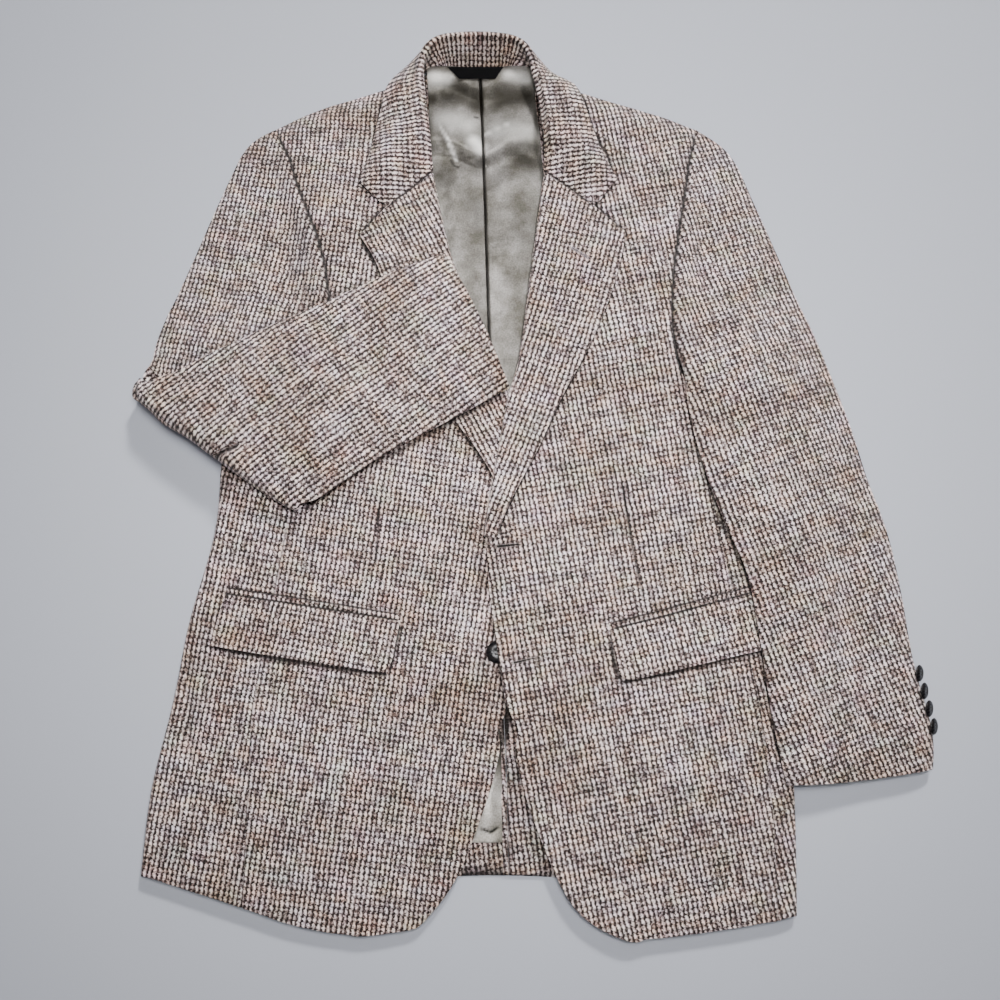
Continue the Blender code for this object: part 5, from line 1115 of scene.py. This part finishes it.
def label_piece(surfaces, finish):
    """The neck label: a bare woven strip, wide at the top, that curves with the lining below it."""
    form = bmesh.new()
    rows = []
    for v in np.linspace(0.0, 1.0, 7):
        left, right = (a + (b - a) * v for a, b in zip(LABEL_LOW, LABEL_TOP))
        row = []
        for u in np.linspace(0.0, 1.0, 23):
            spot = at(left + (right - left) * u, LABEL_Y[0] + (LABEL_Y[1] - LABEL_Y[0]) * v)
            spot.z = surface_height(surfaces, ["lining_left", "lining_right"], spot.x, spot.y) + 0.0007
            row.append(spot)
        rows.append(row)
    heights = np.array([[spot.z for spot in row] for row in rows])
    heights = np.repeat(heights.max(axis=1)[:, None], heights.shape[1], axis=1)
    points = [[form.verts.new((spot.x, spot.y, z)) for spot, z in zip(row, line)] for row, line in zip(rows, heights)]
    for a, b in zip(points, points[1:]):
        for k in range(len(a) - 1):
            form.faces.new([a[k], a[k + 1], b[k + 1], b[k]])
    bmesh.ops.solidify(form, geom=form.faces[:], thickness=0.0005)
    bmesh.ops.recalc_face_normals(form, faces=form.faces[:])
    mesh = bpy.data.meshes.new("label_woven")
    form.to_mesh(mesh)
    form.free()
    piece = new_piece("label_woven_strip", mesh, finish)
    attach(piece, "root")
    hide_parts("label")


# ---------------------------------------------------------------- stage
def make_stage():
    """A plain pale floor, soft light and the camera."""
    form = bmesh.new()
    bmesh.ops.create_grid(form, x_segments=2, y_segments=2, size=3.0)
    mesh = bpy.data.meshes.new("floor")
    form.to_mesh(mesh)
    form.free()
    m = Nodes("floor_plain")
    m.shader.inputs["Base Color"].default_value = (0.44, 0.455, 0.51, 1.0)
    m.shader.inputs["Roughness"].default_value = 0.95
    mesh.materials.append(m.material)
    floor = bpy.data.objects.new("floor", mesh)
    floor.location = (0.0, 0.0, -0.0003)
    bpy.context.scene.collection.objects.link(floor)

    for name, place, size, power, cone in (("key", (0.70, 2.20, 1.95), 0.45, 100.0, 180.0),
                                           ("fill", (-1.4, -0.7, 1.9), 2.2, 2.0, 180.0),
                                           ("top", (0.05, 0.02, 1.30), 0.40, 5.4, 84.0)):
        light = bpy.data.lights.new(name, "AREA")
        light.shape = "DISK"
        light.size = size
        light.energy = power
        light.spread = math.radians(cone)
        lamp = bpy.data.objects.new(name, light)
        lamp.location = place
        lamp.rotation_mode = "QUATERNION"
        lamp.rotation_quaternion = (Vector(place) * -1.0).to_track_quat("-Z", "Y")
        bpy.context.scene.collection.objects.link(lamp)
    world = bpy.data.worlds.new("studio")
    world.use_nodes = True
    world.node_tree.nodes["Background"].inputs[0].default_value = (0.93, 0.95, 1.0, 1.0)
    world.node_tree.nodes["Background"].inputs[1].default_value = 0.13
    bpy.context.scene.world = world

    tilt = math.radians(8.7)
    height = 0.985
    lens = bpy.data.cameras.new("camera")
    lens.sensor_width = 36.0
    lens.lens = 1.05 * 36.0
    camera = bpy.data.objects.new("camera", lens)
    camera.location = at(0.0, -height * math.tan(tilt), height)
    camera.rotation_euler = (tilt, 0.0, 0.0)
    bpy.context.scene.collection.objects.link(camera)
    bpy.context.scene.camera = camera


def main():
    """Dress the jacket from the floor up."""
    make_stage()
    tweed = tweed_material()
    satin = satin_material("lining_cloth", 1.0)
    # A lighter copy of the same satin for the skirt lining: painted light.
    satin_painted_lighter = satin_material("lining_cloth_low_painted_lighter", 2.3)
    horn = horn_material()
    thread = thread_material("thread_black", (0.006, 0.006, 0.007), (0.03, 0.028, 0.028))
    taupe = thread_material("thread_taupe", (0.050, 0.038, 0.037), (0.20, 0.16, 0.15))
    mauve = thread_material("thread_mauve", (0.12, 0.095, 0.11), (0.30, 0.25, 0.27))
    dark = slit_material()
    surfaces = {}
    for name in CLOTH:
        lined = name.startswith("lining")
        finish = satin_painted_lighter if name == "lining_skirt" else satin if lined else tweed
        make_cloth(name, finish, "lining_satin" if lined else "tweed", surfaces)
    label_piece(surfaces, label_material())
    buttonhole("buttonhole_top", surfaces, ["front_left"], (-0.003, -0.0465), (0.020, -0.0443), taupe, dark, 0.0009,
               stitch=0.0009)
    buttonhole("buttonhole_low", surfaces, ["front_left"], (0.012, -0.1528), (0.034, -0.1478), taupe, dark, 0.0006,
               stitch=0.0010)
    buttonhole("buttonhole_lapel", surfaces, ["facing_left"], (0.070, 0.2410), (0.085, 0.2300), mauve, dark, 0.00015,
               stitch=0.0015, keyhole=False)
    for name in ("button_front_top", "button_front_low"):
        dress_button(name, (0.0, 0.0, 1.0), 0.0105, 0.0036, horn, thread, dark)
    for k in range(1, 5):
        dress_button(f"button_cuff_left_{k}", (0.74, -0.06, 0.67), 0.0076, 0.0034, horn, thread, dark,
                     (-0.0016, 0.0, 0.0030))
        dress_button(f"button_cuff_right_{k}", (0.0, 0.0, -1.0), 0.0073, 0.0030, horn, thread, dark)


main()
